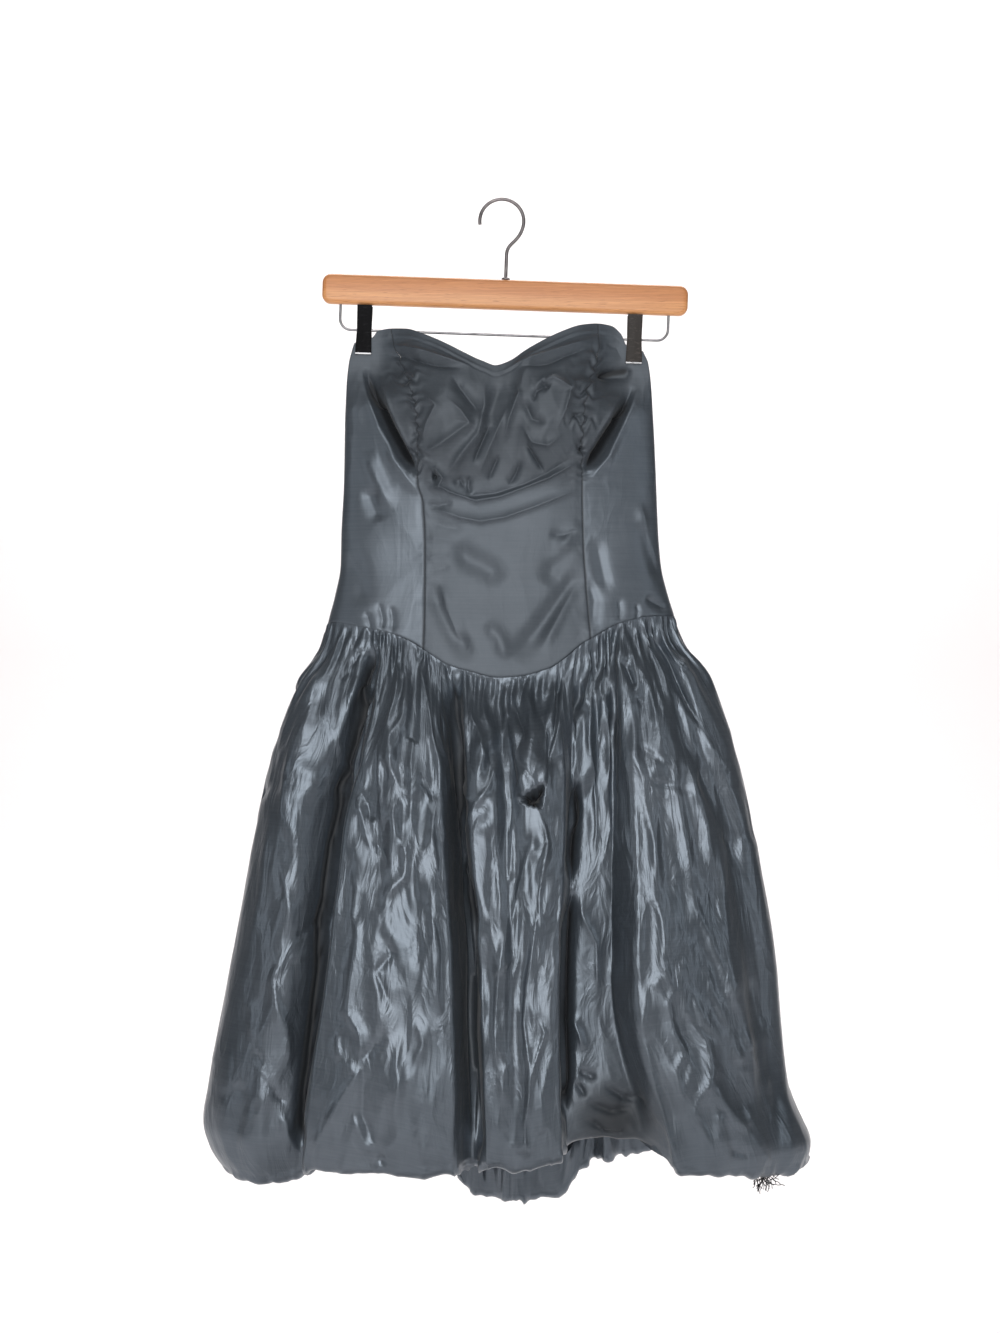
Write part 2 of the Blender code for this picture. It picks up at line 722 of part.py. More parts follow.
def clip(name, x):
    """A spring clip, cut across its width from one outline with a hole for the rail."""
    curve = bpy.data.curves.new(name, "CURVE")
    curve.dimensions = "2D"
    curve.fill_mode = "BOTH"
    curve.extrude = CLIP_WIDTH / 2 * MM
    hole_radius = RAIL_WIRE / 2 + SEAM_GAP
    hole = []
    for i in range(12):
        angle = 2 * math.pi * i / 12
        hole.append((hole_radius * math.cos(angle), hole_radius * math.sin(angle)))
    for outline in (clip_outline(), hole):
        line = curve.splines.new("POLY")
        line.points.add(len(outline) - 1)
        line.use_cyclic_u = True
        for spot, (y, z) in zip(line.points, outline):
            spot.co = (y * MM, z * MM, 0, 1)
    made = add_object(name, curve, "black_metal")
    made.rotation_euler = (math.radians(90), 0, math.radians(90))
    made.location = Vector((x, 0, BAR_CENTRE.z - BAR_SIZE.z / 2 - RAIL_DROP)) * MM
    return made


def make_hanger():
    tilt = bpy.data.objects.new("hanger_tilt", None)
    dress.objects.link(tilt)
    tilt.rotation_euler = (0, math.radians(HANGER_TILT), 0)
    pieces = [hanger_bar(), hanger_hook(), hanger_rail()]
    pieces += [clip(f"clip_{side}", x) for side, x in zip(("left", "right"), CLIP_XS)]
    for piece in pieces:
        piece.parent = tilt


# Zip
def make_zip():
    """A coil zip down the middle of the back, closed, with its slider at the top."""
    half = ZIP_WIDTH / 2 - HALF_GAP

    def point(u, v):
        x = BACK_CENTRE - half + 2 * half * u
        top, bottom = edge_height(BACK_TOP, BACK_CENTRE), edge_height(BACK_WAIST, BACK_CENTRE)
        z = top - ZIP_BELOW_TOP + (bottom - top + ZIP_BELOW_TOP) * v
        return bodice_point(x, z, BACK)

    cloth_wall("zip_coil", point, BACK, even(ZIP_COLUMNS), even(ZIP_ROWS), BODICE_CLOTH, "zip")
    top = edge_height(BACK_TOP, BACK_CENTRE) - SLIDER_BELOW_TOP
    face = bodice_point(BACK_CENTRE, top, BACK).y + SLIDER_STAND
    body = block("zip_slider", SLIDER, Vector((BACK_CENTRE, face + SLIDER.y / 2, top)), "zip")
    hinge = Vector((BACK_CENTRE, face + SLIDER.y + PULL_KNUCKLE + SEAM_GAP, top + HINGE_UP))
    ears = []
    for way in (-1, 1):
        aside = way * (PULL_WIDTH / 2 + SEAM_GAP + SLIDER_EAR / 2)
        middle = hinge + Vector((aside, -PULL_KNUCKLE / 2 - EAR_SINK, 0))
        ears.append(block("ear", Vector((SLIDER_EAR, EAR_DEEP, EAR_TALL)), middle, "zip"))
    for ear in ears:
        join = body.modifiers.new("ear", "BOOLEAN")
        join.operation = "UNION"
        join.object = ear
        ear.hide_render = True
        ear.display_type = "WIRE"
        cutters.objects.link(ear)
        dress.objects.unlink(ear)
    make_pull(hinge)


def block(name, size, middle, finish):
    mesh = bpy.data.meshes.new(name)
    shape = bmesh.new()
    bmesh.ops.create_cube(shape, size=1)
    bmesh.ops.scale(shape, vec=size * MM, verts=shape.verts)
    shape.to_mesh(mesh)
    shape.free()
    made = add_object(name, mesh, finish)
    made.location = middle * MM
    return made


def make_pull(hinge):
    """The pull: a flat tab hanging from a rolled top end, its origin on its hinge."""
    curve = bpy.data.curves.new("zip_pull", "CURVE")
    curve.dimensions = "2D"
    curve.fill_mode = "BOTH"
    curve.extrude = PULL_WIDTH / 2 * MM
    outline = []
    for turn in range(-50, 231, 28):
        angle = math.radians(turn)
        outline.append((PULL_KNUCKLE * math.cos(angle), PULL_KNUCKLE * math.sin(angle)))
    outline += [(-PULL_THICK / 2, -PULL_LENGTH), (PULL_THICK / 2, -PULL_LENGTH)]
    line = curve.splines.new("POLY")
    line.points.add(len(outline) - 1)
    line.use_cyclic_u = True
    for spot, (y, z) in zip(line.points, outline):
        spot.co = (y * MM, z * MM, 0, 1)
    made = add_object("zip_pull", curve, "zip")
    made.rotation_euler = (math.radians(90), 0, math.radians(90))
    made.location = hinge * MM


for old in list(bpy.data.objects):
    bpy.data.objects.remove(old)
dress = bpy.data.collections.new("strapless_dress")
cutters = bpy.data.collections.new("cutters")
cutters.hide_render = True
bpy.context.scene.collection.children.link(dress)
bpy.context.scene.collection.children.link(cutters)

ZIP_LEFT, ZIP_RIGHT = BACK_CENTRE - ZIP_WIDTH / 2, BACK_CENTRE + ZIP_WIDTH / 2
Panel = namedtuple("Panel", "name side left right columns")
PANELS = [
    Panel("centre_front", FRONT, LEFT_PRINCESS, RIGHT_PRINCESS, 18),
    Panel("side_front_left", FRONT, "LEFT", LEFT_PRINCESS, 12),
    Panel("side_front_right", FRONT, RIGHT_PRINCESS, "RIGHT", 12),
    Panel("back_left", BACK, "LEFT", ZIP_LEFT, 9),
    Panel("back_right", BACK, ZIP_RIGHT, "RIGHT", 9),
]
for panel in PANELS:
    top, bottom = (NECKLINE, FRONT_WAIST) if panel.side == FRONT else (BACK_TOP, BACK_WAIST)
    bodice_panel(
        panel.name, panel.side, panel.left, panel.right, top, bottom, even(panel.columns), BODICE_ROWS
    )
rows = ROW_SHARES + HEM_ROWS
skirt_panel(
    "skirt_front", FRONT, FRONT_STRIPS, FRONT_GUIDES, FRONT_HOLLOWS, FRONT_WAIST, FRONT_HEM, rows
)
skirt_panel("skirt_back", BACK, BACK_STRIPS, BACK_GUIDES, BACK_HOLLOWS, BACK_WAIST, BACK_HEM, rows)
make_zip()
make_hanger()
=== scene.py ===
"""The looks of a strapless taffeta dress with a bubble skirt, hanging from a wooden clip hanger.

Places are in millimetres from the inside top of the hanger's hook, until a mesh is made of them.
"""

import math
from collections import namedtuple

import bpy
import numpy as np
from mathutils import Matrix, Vector


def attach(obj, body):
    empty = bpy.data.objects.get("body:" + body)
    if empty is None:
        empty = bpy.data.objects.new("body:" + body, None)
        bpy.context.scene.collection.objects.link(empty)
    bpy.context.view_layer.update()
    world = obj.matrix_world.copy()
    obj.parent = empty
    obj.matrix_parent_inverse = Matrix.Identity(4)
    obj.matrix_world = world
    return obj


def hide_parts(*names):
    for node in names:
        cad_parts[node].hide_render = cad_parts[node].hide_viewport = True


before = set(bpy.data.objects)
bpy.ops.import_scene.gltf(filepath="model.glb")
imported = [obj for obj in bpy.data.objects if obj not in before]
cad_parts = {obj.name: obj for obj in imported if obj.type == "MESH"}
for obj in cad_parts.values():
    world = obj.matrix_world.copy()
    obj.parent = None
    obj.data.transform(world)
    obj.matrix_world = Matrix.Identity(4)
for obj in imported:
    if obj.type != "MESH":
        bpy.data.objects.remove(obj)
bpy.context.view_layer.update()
MM = 0.001

# Camera. It stands straight in front of the dress and level, where someone would take the picture of it, so
# the near flutes of the skirt look a little lower than the far side of the hem.
VIEW_FAR = 2200
VIEW_TALL = 1333
VIEW_MIDDLE = Vector((-3, 0, -465.5))

camera_lens = bpy.data.cameras.new("camera")
camera_lens.lens = camera_lens.sensor_width * VIEW_FAR / VIEW_TALL
camera_lens.clip_end = 30
camera = bpy.data.objects.new("camera", camera_lens)
bpy.context.scene.collection.objects.link(camera)
camera.location = (VIEW_MIDDLE - Vector((0, VIEW_FAR, 0))) * MM
camera.rotation_euler = (math.radians(90), 0, 0)
bpy.context.scene.camera = camera
bpy.context.scene.view_settings.view_transform = "Standard"

# Studio. A pale floor that sweeps up into the backdrop, and large soft lamps: one in front at the dress's
# own height, which brings up the taffeta's sheen on whatever hangs straight, a weak one above it, two more
# at the sides, and one that whitens the sweep.
SWEEP = {"floor": -1.32, "near": -3.4, "far": 3.6, "bend": 0.9, "top": 3.4, "half_width": 6.0}
SWEEP_STEPS = 16
SWEEP_COLOUR = (0.93, 0.905, 0.905, 1)
Lamp = namedtuple("Lamp", "name place aim width height power colour")
LAMPS = [
    Lamp("front_softbox", (-0.2, -2.5, -0.1), (0.0, 0.0, -0.5), 1.45, 1.1, 29, (1.0, 0.99, 0.98)),
    Lamp("high_strip", (0.1, -1.7, 1.2), (0.0, 0.0, -0.5), 1.3, 0.35, 9, (1.0, 0.99, 0.98)),
    Lamp("left_strip", (-2.2, -1.3, -0.2), (0.0, 0.0, -0.6), 0.4, 1.6, 4, (0.94, 0.97, 1.0)),
    Lamp("right_strip", (2.0, -1.6, -0.1), (0.0, 0.0, -0.6), 0.4, 1.6, 5, (0.94, 0.97, 1.0)),
    Lamp("sweep_lamp", (0.0, 1.5, 2.9), (0.0, 3.4, -0.8), 3.4, 1.0, 210, (1.0, 0.985, 0.98)),
]
SKY_STRENGTH = 0.12

world = bpy.data.worlds.new("studio")
world.use_nodes = True
world.node_tree.nodes["Background"].inputs["Color"].default_value = (0.95, 0.97, 1.0, 1)
world.node_tree.nodes["Background"].inputs["Strength"].default_value = SKY_STRENGTH
bpy.context.scene.world = world
for lamp in LAMPS:
    light = bpy.data.lights.new(lamp.name, "AREA")
    light.shape = "RECTANGLE"
    light.size, light.size_y = lamp.width, lamp.height
    light.energy = lamp.power
    light.color = lamp.colour
    hung = bpy.data.objects.new(lamp.name, light)
    bpy.context.scene.collection.objects.link(hung)
    hung.location = lamp.place
    hung.rotation_euler = (Vector(lamp.aim) - Vector(lamp.place)).to_track_quat("-Z", "Y").to_euler()

profile = [(SWEEP["near"], SWEEP["floor"]), (SWEEP["far"], SWEEP["floor"])]
for turn in range(1, SWEEP_STEPS + 1):
    angle = math.radians(90 * turn / SWEEP_STEPS)
    height = SWEEP["floor"] + SWEEP["bend"] * (1 - math.cos(angle))
    profile.append((SWEEP["far"] + SWEEP["bend"] * math.sin(angle), height))
profile.append((profile[-1][0], SWEEP["top"]))
sweep_mesh = bpy.data.meshes.new("sweep")
sweep_points = [(x, y, z) for x in (-SWEEP["half_width"], SWEEP["half_width"]) for y, z in profile]
sweep_faces = [(i, i + 1, i + 1 + len(profile), i + len(profile)) for i in range(len(profile) - 1)]
sweep_mesh.from_pydata(sweep_points, [], sweep_faces)
sweep_mesh.shade_smooth()
sweep = bpy.data.objects.new("sweep", sweep_mesh)
bpy.context.scene.collection.objects.link(sweep)
sweep_paper = bpy.data.materials.new("sweep_paper")
sweep_paper.use_nodes = True
paper_shader = sweep_paper.node_tree.nodes["Principled BSDF"]
paper_shader.inputs["Base Color"].default_value = SWEEP_COLOUR
paper_shader.inputs["Roughness"].default_value = 0.9
sweep_mesh.materials.append(sweep_paper)


# Hanger's bar. A beech batten, planed, rounded at its ends and edges, sanded and given a satin varnish. It
# hangs a little lower on the right, and its lower half is painted paler: a painted highlight.
BAR_SIZE = Vector((365.5, 13, 30))
BAR_CENTRE = Vector((5.4, 0, -93.9))
BAR_END_RADIUS, BAR_EDGE_RADIUS = 9, 4.5
HANGER_LEAN = math.radians(2.0)
HANGER_TILT = Matrix.Rotation(HANGER_LEAN, 4, "Y")
BEECH_PAINTED_HIGHLIGHT = (0.62, 0.262, 0.094, 1), (0.81, 0.392, 0.157, 1)
DARK_BEECH = (0.53, 0.2, 0.067, 1), (0.71, 0.308, 0.115, 1)
BEECH_PORES = (0.41, 0.148, 0.049, 1)


class Strand:
    """A node's output that takes part in sums."""

    def __init__(self, finish, socket):
        self.finish = finish
        self.socket = socket

    def sum_with(self, operation, first, second):
        return self.finish.node("ShaderNodeMath", {"operation": operation}, [first, second])

    def __add__(self, other):
        return self.sum_with("ADD", self, other)

    def __sub__(self, other):
        return self.sum_with("SUBTRACT", self, other)

    def __mul__(self, other):
        return self.sum_with("MULTIPLY", self, other)

    def __rsub__(self, other):
        return self.sum_with("SUBTRACT", other, self)

    __radd__ = __add__
    __rmul__ = __mul__


class Finish:
    """A material whose nodes are laid out one after another."""

    def __init__(self, name, **constants):
        self.material = bpy.data.materials.new(name)
        self.material.use_nodes = True
        self.tree = self.material.node_tree
        self.shader = self.tree.nodes["Principled BSDF"]
        for socket, value in constants.items():
            self.shader.inputs[socket.replace("_", " ").title()].default_value = value

    def node(self, kind, settings, sockets=(), output=0):
        """Adds a node: its settings first, then values or links for its inputs, by place or by name."""
        added = self.tree.nodes.new(kind)
        for name, value in settings.items():
            if name == "stops":
                for element, (position, colour) in zip(added.color_ramp.elements, value):
                    element.position = position
                    element.color = (*colour, 1)
            else:
                setattr(added, name, value)
        for key, value in sockets.items() if isinstance(sockets, dict) else enumerate(sockets):
            self.feed(added.inputs[key], value)
        return Strand(self, added.outputs[output])

    def feed(self, socket, value):
        if isinstance(value, Strand):
            self.tree.links.new(value.socket, socket)
        else:
            socket.default_value = value

    def place(self, kind, scale):
        """A place on the piece, by its cut or by its frame, stretched before a pattern reads it."""
        where = self.node("ShaderNodeTexCoord", {}, output=kind)
        return self.node("ShaderNodeMapping", {}, {"Vector": where, "Scale": scale})

    def noise(self, where, scale, detail=3, roughness=0.55, distortion=0.0):
        sockets = {"Vector": where, "Scale": scale, "Detail": detail, "Roughness": roughness}
        return self.node("ShaderNodeTexNoise", {}, {**sockets, "Distortion": distortion})

    def ramp(self, amount, *stops):
        return self.node("ShaderNodeValToRGB", {"stops": stops}, [amount])

    def mask(self, amount, low, high):
        """Black below low, white above high, and grey between."""
        return self.ramp(amount, (low, (0, 0, 0)), (high, (1, 1, 1)))

    def blend(self, amount, first, second):
        sockets = {"Factor": amount, 6: first, 7: second}
        return self.node("ShaderNodeMix", {"data_type": "RGBA"}, sockets, output=2)

    def bump(self, height, distance, strength=1.0, under=None):
        sockets = {"Height": height, "Distance": distance, "Strength": strength}
        if under is not None:
            sockets["Normal"] = under
        return self.node("ShaderNodeBump", {}, sockets)

    def show(self, **links):
        for name, value in links.items():
            self.feed(self.shader.inputs[name.replace("_", " ").title()], value)
        return self.material


def beech(name):
    finish = Finish(name, coat_weight=0.25, coat_roughness=0.22)
    along = finish.place("Object", (1.0, 7.0, 7.0))
    waver = finish.noise(along, 9, detail=2)
    fibres = finish.place("Object", (1.6, 60.0, 60.0))
    streaks = finish.noise(fibres, 14, detail=5, roughness=0.6, distortion=0.6)
    pores = finish.noise(finish.place("Object", (30.0, 900.0, 900.0)), 2.2, detail=2)
    spot = [finish.node("ShaderNodeTexCoord", {}, output="Object")]
    across = finish.node("ShaderNodeSeparateXYZ", {}, spot, output=0)
    up = finish.node("ShaderNodeSeparateXYZ", {}, spot, output=2)
    height = (up + across * math.tan(HANGER_LEAN) - BAR_CENTRE.z * MM) * (1 / (BAR_SIZE.z * MM)) + 0.5
    # The lower half is painted paler, following the bar's lean: a painted highlight.
    painted_highlight_halves = finish.mask(height + (waver - 0.5) * 0.22, 0.36, 0.5)
    grain_and_painted_panel_shade = finish.mask(streaks, 0.3, 0.72)
    wood = finish.blend(painted_highlight_halves, finish.blend(grain_and_painted_panel_shade, *BEECH_PAINTED_HIGHLIGHT), finish.blend(grain_and_painted_panel_shade, *DARK_BEECH))
    flecked = finish.blend(finish.mask(pores, 0.6, 0.72), wood, BEECH_PORES)
    return finish.show(
        base_color=flecked,
        roughness=0.34 + streaks * 0.16,
        normal=finish.bump(streaks + pores * 0.4, 0.00025, 0.5),
    )


def add_piece(name, mesh, material, body, slot, *stands_for):
    """Puts a finished mesh or curve in the scene, on its body."""
    piece = bpy.data.objects.new(name, mesh)
    bpy.context.scene.collection.objects.link(piece)
    piece.data.materials.append(material)
    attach(piece, body)
    if stands_for:
        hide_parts(*stands_for)
    return piece


def smooth_mesh(name, points, faces, sharp_from=40):
    """A mesh with soft shading, but for edges that bend by more than sharp_from degrees."""
    mesh = bpy.data.meshes.new(name)
    mesh.from_pydata(points, [], faces)
    mesh.shade_smooth()
    if sharp_from:
        mesh.set_sharp_from_angle(angle=math.radians(sharp_from))
    return mesh


def rounded_bar():
    """The batten's outline with round ends, carried round its edges in rings."""
    length, depth, tall = BAR_SIZE
    corner_steps, edge_steps = 8, 5
    rings = []
    for layer in range(2 * edge_steps + 2):
        side = -1 if layer <= edge_steps else 1
        turn = layer if side < 0 else layer - edge_steps - 1
        angle = math.radians(90) * (turn / edge_steps if side < 0 else 1 - turn / edge_steps)
        inset = BAR_EDGE_RADIUS * (1 - math.sin(angle))
        y = side * (depth / 2 - BAR_EDGE_RADIUS * (1 - math.cos(angle)))
        radius = BAR_END_RADIUS - inset
        ring = []
        for quarter in range(4):
            for step in range(corner_steps + 1):
                around = math.radians(90 * (quarter + step / corner_steps))
                x_way, z_way = ((1, 1), (-1, 1), (-1, -1), (1, -1))[quarter]
                x = x_way * (length / 2 - BAR_END_RADIUS) + radius * math.cos(around)
                z = z_way * (tall / 2 - BAR_END_RADIUS) + radius * math.sin(around)
                ring.append(Vector((x, y, z)))
        rings.append(ring)
    count = len(rings[0])
    points = [HANGER_TILT @ (BAR_CENTRE + p) * MM for ring in rings for p in ring]
    faces = [tuple(range(count)), tuple(reversed(range(len(points) - count, len(points))))]
    for first in range(0, len(points) - count, count):
        for i in range(count):
            j = (i + 1) % count
            faces.append((first + i, first + count + i, first + count + j, first + j))
    return smooth_mesh("beech_bar", points, faces)


add_piece("beech_bar", rounded_bar(), beech("varnished_beech"), "dress", "wood", "hanger_bar")

# Hanger's wires. The hook is bent from plated steel wire that has dulled to gunmetal, and screwed into the
# bar. The rail is a thinner bright wire with both ends turned up into the bar.
HOOK_WIRE, HOOK_RADIUS = 3.5, 22
HOOK_CENTRE = (-0.5, HOOK_WIRE / 2 - HOOK_RADIUS)
HOOK_TIP_ANGLE, HOOK_END_ANGLE = 191, -14
HOOK_STEPS, BEND_STEPS = 48, 20
HOOK_SHANK_TOP, HOOK_LEAVES, HOOK_ARRIVES = -54, 17, 13
HOOK_SUNK, RAIL_SUNK = 0.5, 1
RAIL_WIRE, RAIL_DROP, RAIL_HALF_SPAN, RAIL_BEND = 2.6, 25.2, 164, 11
FERRULE_RADIUS, FERRULE_TALL, FERRULE_BORE, FERRULE_BEVEL = 4.2, 2.2, 1.4, 0.9
bar_top = BAR_CENTRE.z + BAR_SIZE.z / 2
bar_under = BAR_CENTRE.z - BAR_SIZE.z / 2


def plated(name, colour, roughness, wear):
    finish = Finish(name, metallic=1.0)
    rubbed = finish.noise(finish.place("Object", (1, 1, 1)), 90, detail=4)
    drawn = finish.noise(finish.place("Object", (60, 60, 900)), 6, detail=2)
    dull = tuple(channel * wear for channel in colour)
    return finish.show(
        base_color=finish.blend(finish.mask(rubbed, 0.4, 0.66), (*colour, 1), (*dull, 1)),
        roughness=roughness + rubbed * 0.18,
        normal=finish.bump(drawn, 0.00008, 0.4),
    )


def wire_curve(name, spots, diameter, fineness=5, capped=True):
    """A round wire through spots of the hanger, which are given level and tilted as it hangs."""
    curve = bpy.data.curves.new(name, "CURVE")
    curve.dimensions = "3D"
    curve.bevel_depth = diameter / 2 * MM
    curve.bevel_resolution = fineness
    curve.use_fill_caps = capped
    line = curve.splines.new("POLY")
    line.points.add(len(spots) - 1)
    for point, spot in zip(line.points, spots):
        point.co = (*(HANGER_TILT @ Vector(spot) * MM), 1)
    line.use_smooth = True
    return curve


hook_points = []
for step in range(HOOK_STEPS + 1):
    angle = math.radians(HOOK_TIP_ANGLE + (HOOK_END_ANGLE - HOOK_TIP_ANGLE) * step / HOOK_STEPS)
    x = HOOK_CENTRE[0] + HOOK_RADIUS * math.cos(angle)
    hook_points.append((x, HOOK_CENTRE[1] + HOOK_RADIUS * math.sin(angle)))
end_angle = math.radians(HOOK_END_ANGLE)
bend_from, bend_to = Vector(hook_points[-1]), Vector((BAR_CENTRE.x, HOOK_SHANK_TOP))
bend_leave = bend_from + Vector((math.sin(end_angle), -math.cos(end_angle))) * HOOK_LEAVES
bend_arrive = bend_to + Vector((0, HOOK_ARRIVES))
for step in range(1, BEND_STEPS + 1):
    t = step / BEND_STEPS
    spot = bend_from * (1 - t) ** 3 + bend_leave * 3 * t * (1 - t) ** 2
    spot += bend_arrive * 3 * t * t * (1 - t) + bend_to * t**3
    hook_points.append(tuple(spot))
hook_points.append((BAR_CENTRE.x, bar_top - HOOK_SUNK))
gunmetal = plated("gunmetal_wire", (0.23, 0.21, 0.21), 0.24, 0.55)
hook_curve = wire_curve("hook_wire", [(x, 0, z) for x, z in hook_points], HOOK_WIRE)
add_piece("hook_wire", hook_curve, gunmetal, "dress", "steel", "hanger_hook")

rail_level = bar_under - RAIL_DROP
rail_left, rail_right = BAR_CENTRE.x - RAIL_HALF_SPAN, BAR_CENTRE.x + RAIL_HALF_SPAN
rail_points = [(rail_left, bar_under + RAIL_SUNK)]
for turn in range(0, 91, 6):
    angle = math.radians(turn)
    x = rail_left + RAIL_BEND * (1 - math.cos(angle))
    rail_points.append((x, rail_level + RAIL_BEND * (1 - math.sin(angle))))
rail_points += [(rail_left + rail_right - x, z) for x, z in reversed(rail_points)]
bright_wire = plated("bright_wire", (0.27, 0.27, 0.28), 0.22, 0.6)
rail_curve = wire_curve("rail_wire", [(x, 0, z) for x, z in rail_points], RAIL_WIRE)
add_piece("rail_wire", rail_curve, bright_wire, "dress", "steel", "hanger_rail")


def turned(name, profile, middle, steps=32):
    """A small round fitting: a profile of (radius, height) turned about an upright line of the hanger."""
    points, faces = [], []
    for step in range(steps):
        angle = 2 * math.pi * step / steps
        for radius, height in profile:
            spot = middle + Vector((radius * math.cos(angle), radius * math.sin(angle), height))
            points.append(HANGER_TILT @ spot * MM)
    count = len(profile)
    for step in range(steps):
        after = (step + 1) % steps
        for i in range(count - 1):
            faces.append((step * count + i, after * count + i, after * count + i + 1, step * count + i + 1))
    return smooth_mesh(name, points, faces)


ferrule_profile = [
    (FERRULE_BORE, 0), (FERRULE_RADIUS, 0), (FERRULE_RADIUS, FERRULE_TALL * 0.6),
    (FERRULE_RADIUS - FERRULE_BEVEL, FERRULE_TALL), (FERRULE_BORE, FERRULE_TALL),
]  # fmt: skip
ferrule = turned("hook_ferrule", ferrule_profile, Vector((BAR_CENTRE.x, 0, bar_top)))
add_piece("hook_ferrule", ferrule, gunmetal, "dress", "steel")

# Clips. Each is two lacquered steel leaves on the rail, sprung apart above it and biting the top edge of the
# dress below it. Their jaws are lined with a bright turned lip, which shows as a thin line under each front
# leaf.
CLIP_WIDTH, CLIP_LEAF = 16.4, 1.5
CLIP_XS = {"left": -134.1, "right": 136.0}
CLIP_BELOW, CLIP_ABOVE, CLIP_BARREL = 24.4, 24.6, 3.8
CLIP_JAW, CLIP_HANDLE_OUT = 4.05, 8.0
CLIP_WAIST, CLIP_HANDLE_WIDTH, CLIP_RIB, CLIP_CURL = 14.4, 14.8, 0.5, 0.7
LIP_TALL, LIP_BEVEL = 1.3, 0.3
SPRING_TURNS, SPRING_REACH, SPRING_WIRE, SPRING_STEPS = 5, 5.2, 1.1, 16
CLIP_COLOURS = {"left": (0.003, 0.003, 0.004), "right": (0.030, 0.025, 0.022)}
CLIP_GLOSS = {"left": 0.12, "right": 0.4}


def lacquer(name, colour, gloss):
    finish = Finish(name)
    finish.shader.inputs["Specular IOR Level"].default_value = gloss
    scuffs = finish.noise(finish.place("Object", (1, 1, 3)), 160, detail=5, roughness=0.65)
    peel = finish.noise(finish.place("Object", (1, 1, 1)), 700, detail=1)
    worn = tuple(channel * 2.6 + 0.01 for channel in colour)
    return finish.show(
        base_color=finish.blend(finish.mask(scuffs, 0.55, 0.75), (*colour, 1), (*worn, 1)),
        roughness=0.5 + scuffs * 0.2,
        normal=finish.bump(peel, 0.00006, 0.6),
    )


def leaf_mesh(name, x, way):
    """One leaf of a clip, as a bent strip with rounded lower corners, a raised rib and its thickness."""
    bends = [
        (CLIP_HANDLE_OUT - CLIP_LEAF / 2, CLIP_ABOVE),
        (CLIP_HANDLE_OUT - CLIP_LEAF / 2 - 0.4, CLIP_ABOVE * 0.7),
        (CLIP_BARREL + 1.3, CLIP_BARREL + 3),
        (CLIP_BARREL + 0.5, 0),
        (CLIP_BARREL + 1.4, -CLIP_BARREL - 4),
        (CLIP_JAW + CLIP_LEAF + 0.5, -CLIP_BELOW + 8),
        (CLIP_JAW + CLIP_LEAF / 2, -CLIP_BELOW),
    ]
    rows, columns = 40, 14
    outs, heights = zip(*reversed(bends))
    width_heights = (-CLIP_BELOW, -CLIP_BELOW + 7, 0, CLIP_ABOVE)
    widths = (CLIP_WIDTH, CLIP_WIDTH - 0.4, CLIP_WAIST, CLIP_HANDLE_WIDTH)
    points, faces = [], []
    for layer in (0, 1):
        for r in range(rows + 1):
            z = CLIP_ABOVE + (-CLIP_BELOW - CLIP_ABOVE) * r / rows
            out = np.interp(z, heights, outs)
            wide = np.interp(z, width_heights, widths)
            for c in range(columns + 1):
                across = c / columns * 2 - 1
                ribbed = float(6 - CLIP_BELOW < z < CLIP_ABOVE - 4)
                rib = CLIP_RIB * math.exp(-((across / 0.3) ** 2)) * ribbed
                curl = -CLIP_CURL * abs(across) ** 6
                y = way * (out + rib + curl - layer * CLIP_LEAF)
                spot = Vector((x + across * wide / 2, y, rail_level + z))
                points.append(HANGER_TILT @ spot * MM)
    size = (rows + 1) * (columns + 1)
    line = columns + 1
    for r in range(rows):
        for c in range(columns):
            a = r * line + c
            front = [a, a + line, a + line + 1, a + 1]
            faces.append(front if way < 0 else front[::-1])
            back = [i + size for i in front]
            faces.append(back[::-1] if way < 0 else back)
    rim = list(range(columns)) + [r * line + columns for r in range(rows)]
    rim += [rows * line + c for c in range(columns, 0, -1)] + [r * line for r in range(rows, 0, -1)]
    for a, b in zip(rim, rim[1:] + rim[:1]):
        side = [a, b, b + size, a + size]
        faces.append(side if way < 0 else side[::-1])
    return smooth_mesh(name, points, faces, sharp_from=38)


def lip_mesh(name, x, way):
    """The bright lip along a jaw's lower edge."""
    half = CLIP_WIDTH / 2 - LIP_BEVEL
    inner, outer = CLIP_JAW + 0.05, CLIP_JAW + CLIP_LEAF + 0.25
    low, high = -CLIP_BELOW - 0.35, -CLIP_BELOW + LIP_TALL
    section = [
        (inner, high), (inner, low + LIP_BEVEL), (inner + LIP_BEVEL, low), (outer - LIP_BEVEL, low),
        (outer, low + LIP_BEVEL), (outer, high),
    ]  # fmt: skip
    points, faces = [], []
    for across in (-half, half):
        for y, z in section:
            points.append(HANGER_TILT @ Vector((x + across, way * y, rail_level + z)) * MM)
    count = len(section)
    for i in range(count):
        j = (i + 1) % count
        faces.append((i, j, j + count, i + count))
    faces += [tuple(reversed(range(count))), tuple(range(count, 2 * count))]
    mesh = bpy.data.meshes.new(name)
    mesh.from_pydata(points, [], faces)
    return mesh


def spring_points(x):
    """The coil spring that sits round the rail between the leaves."""
    coil, count = CLIP_BARREL - 0.9, SPRING_TURNS * SPRING_STEPS
    spots = []
    for step in range(count + 1):
        angle = 2 * math.pi * step / SPRING_STEPS
        along = SPRING_REACH * (2 * step / count - 1)
        spots.append((x + along, coil * math.cos(angle), rail_level + coil * math.sin(angle)))
    return spots


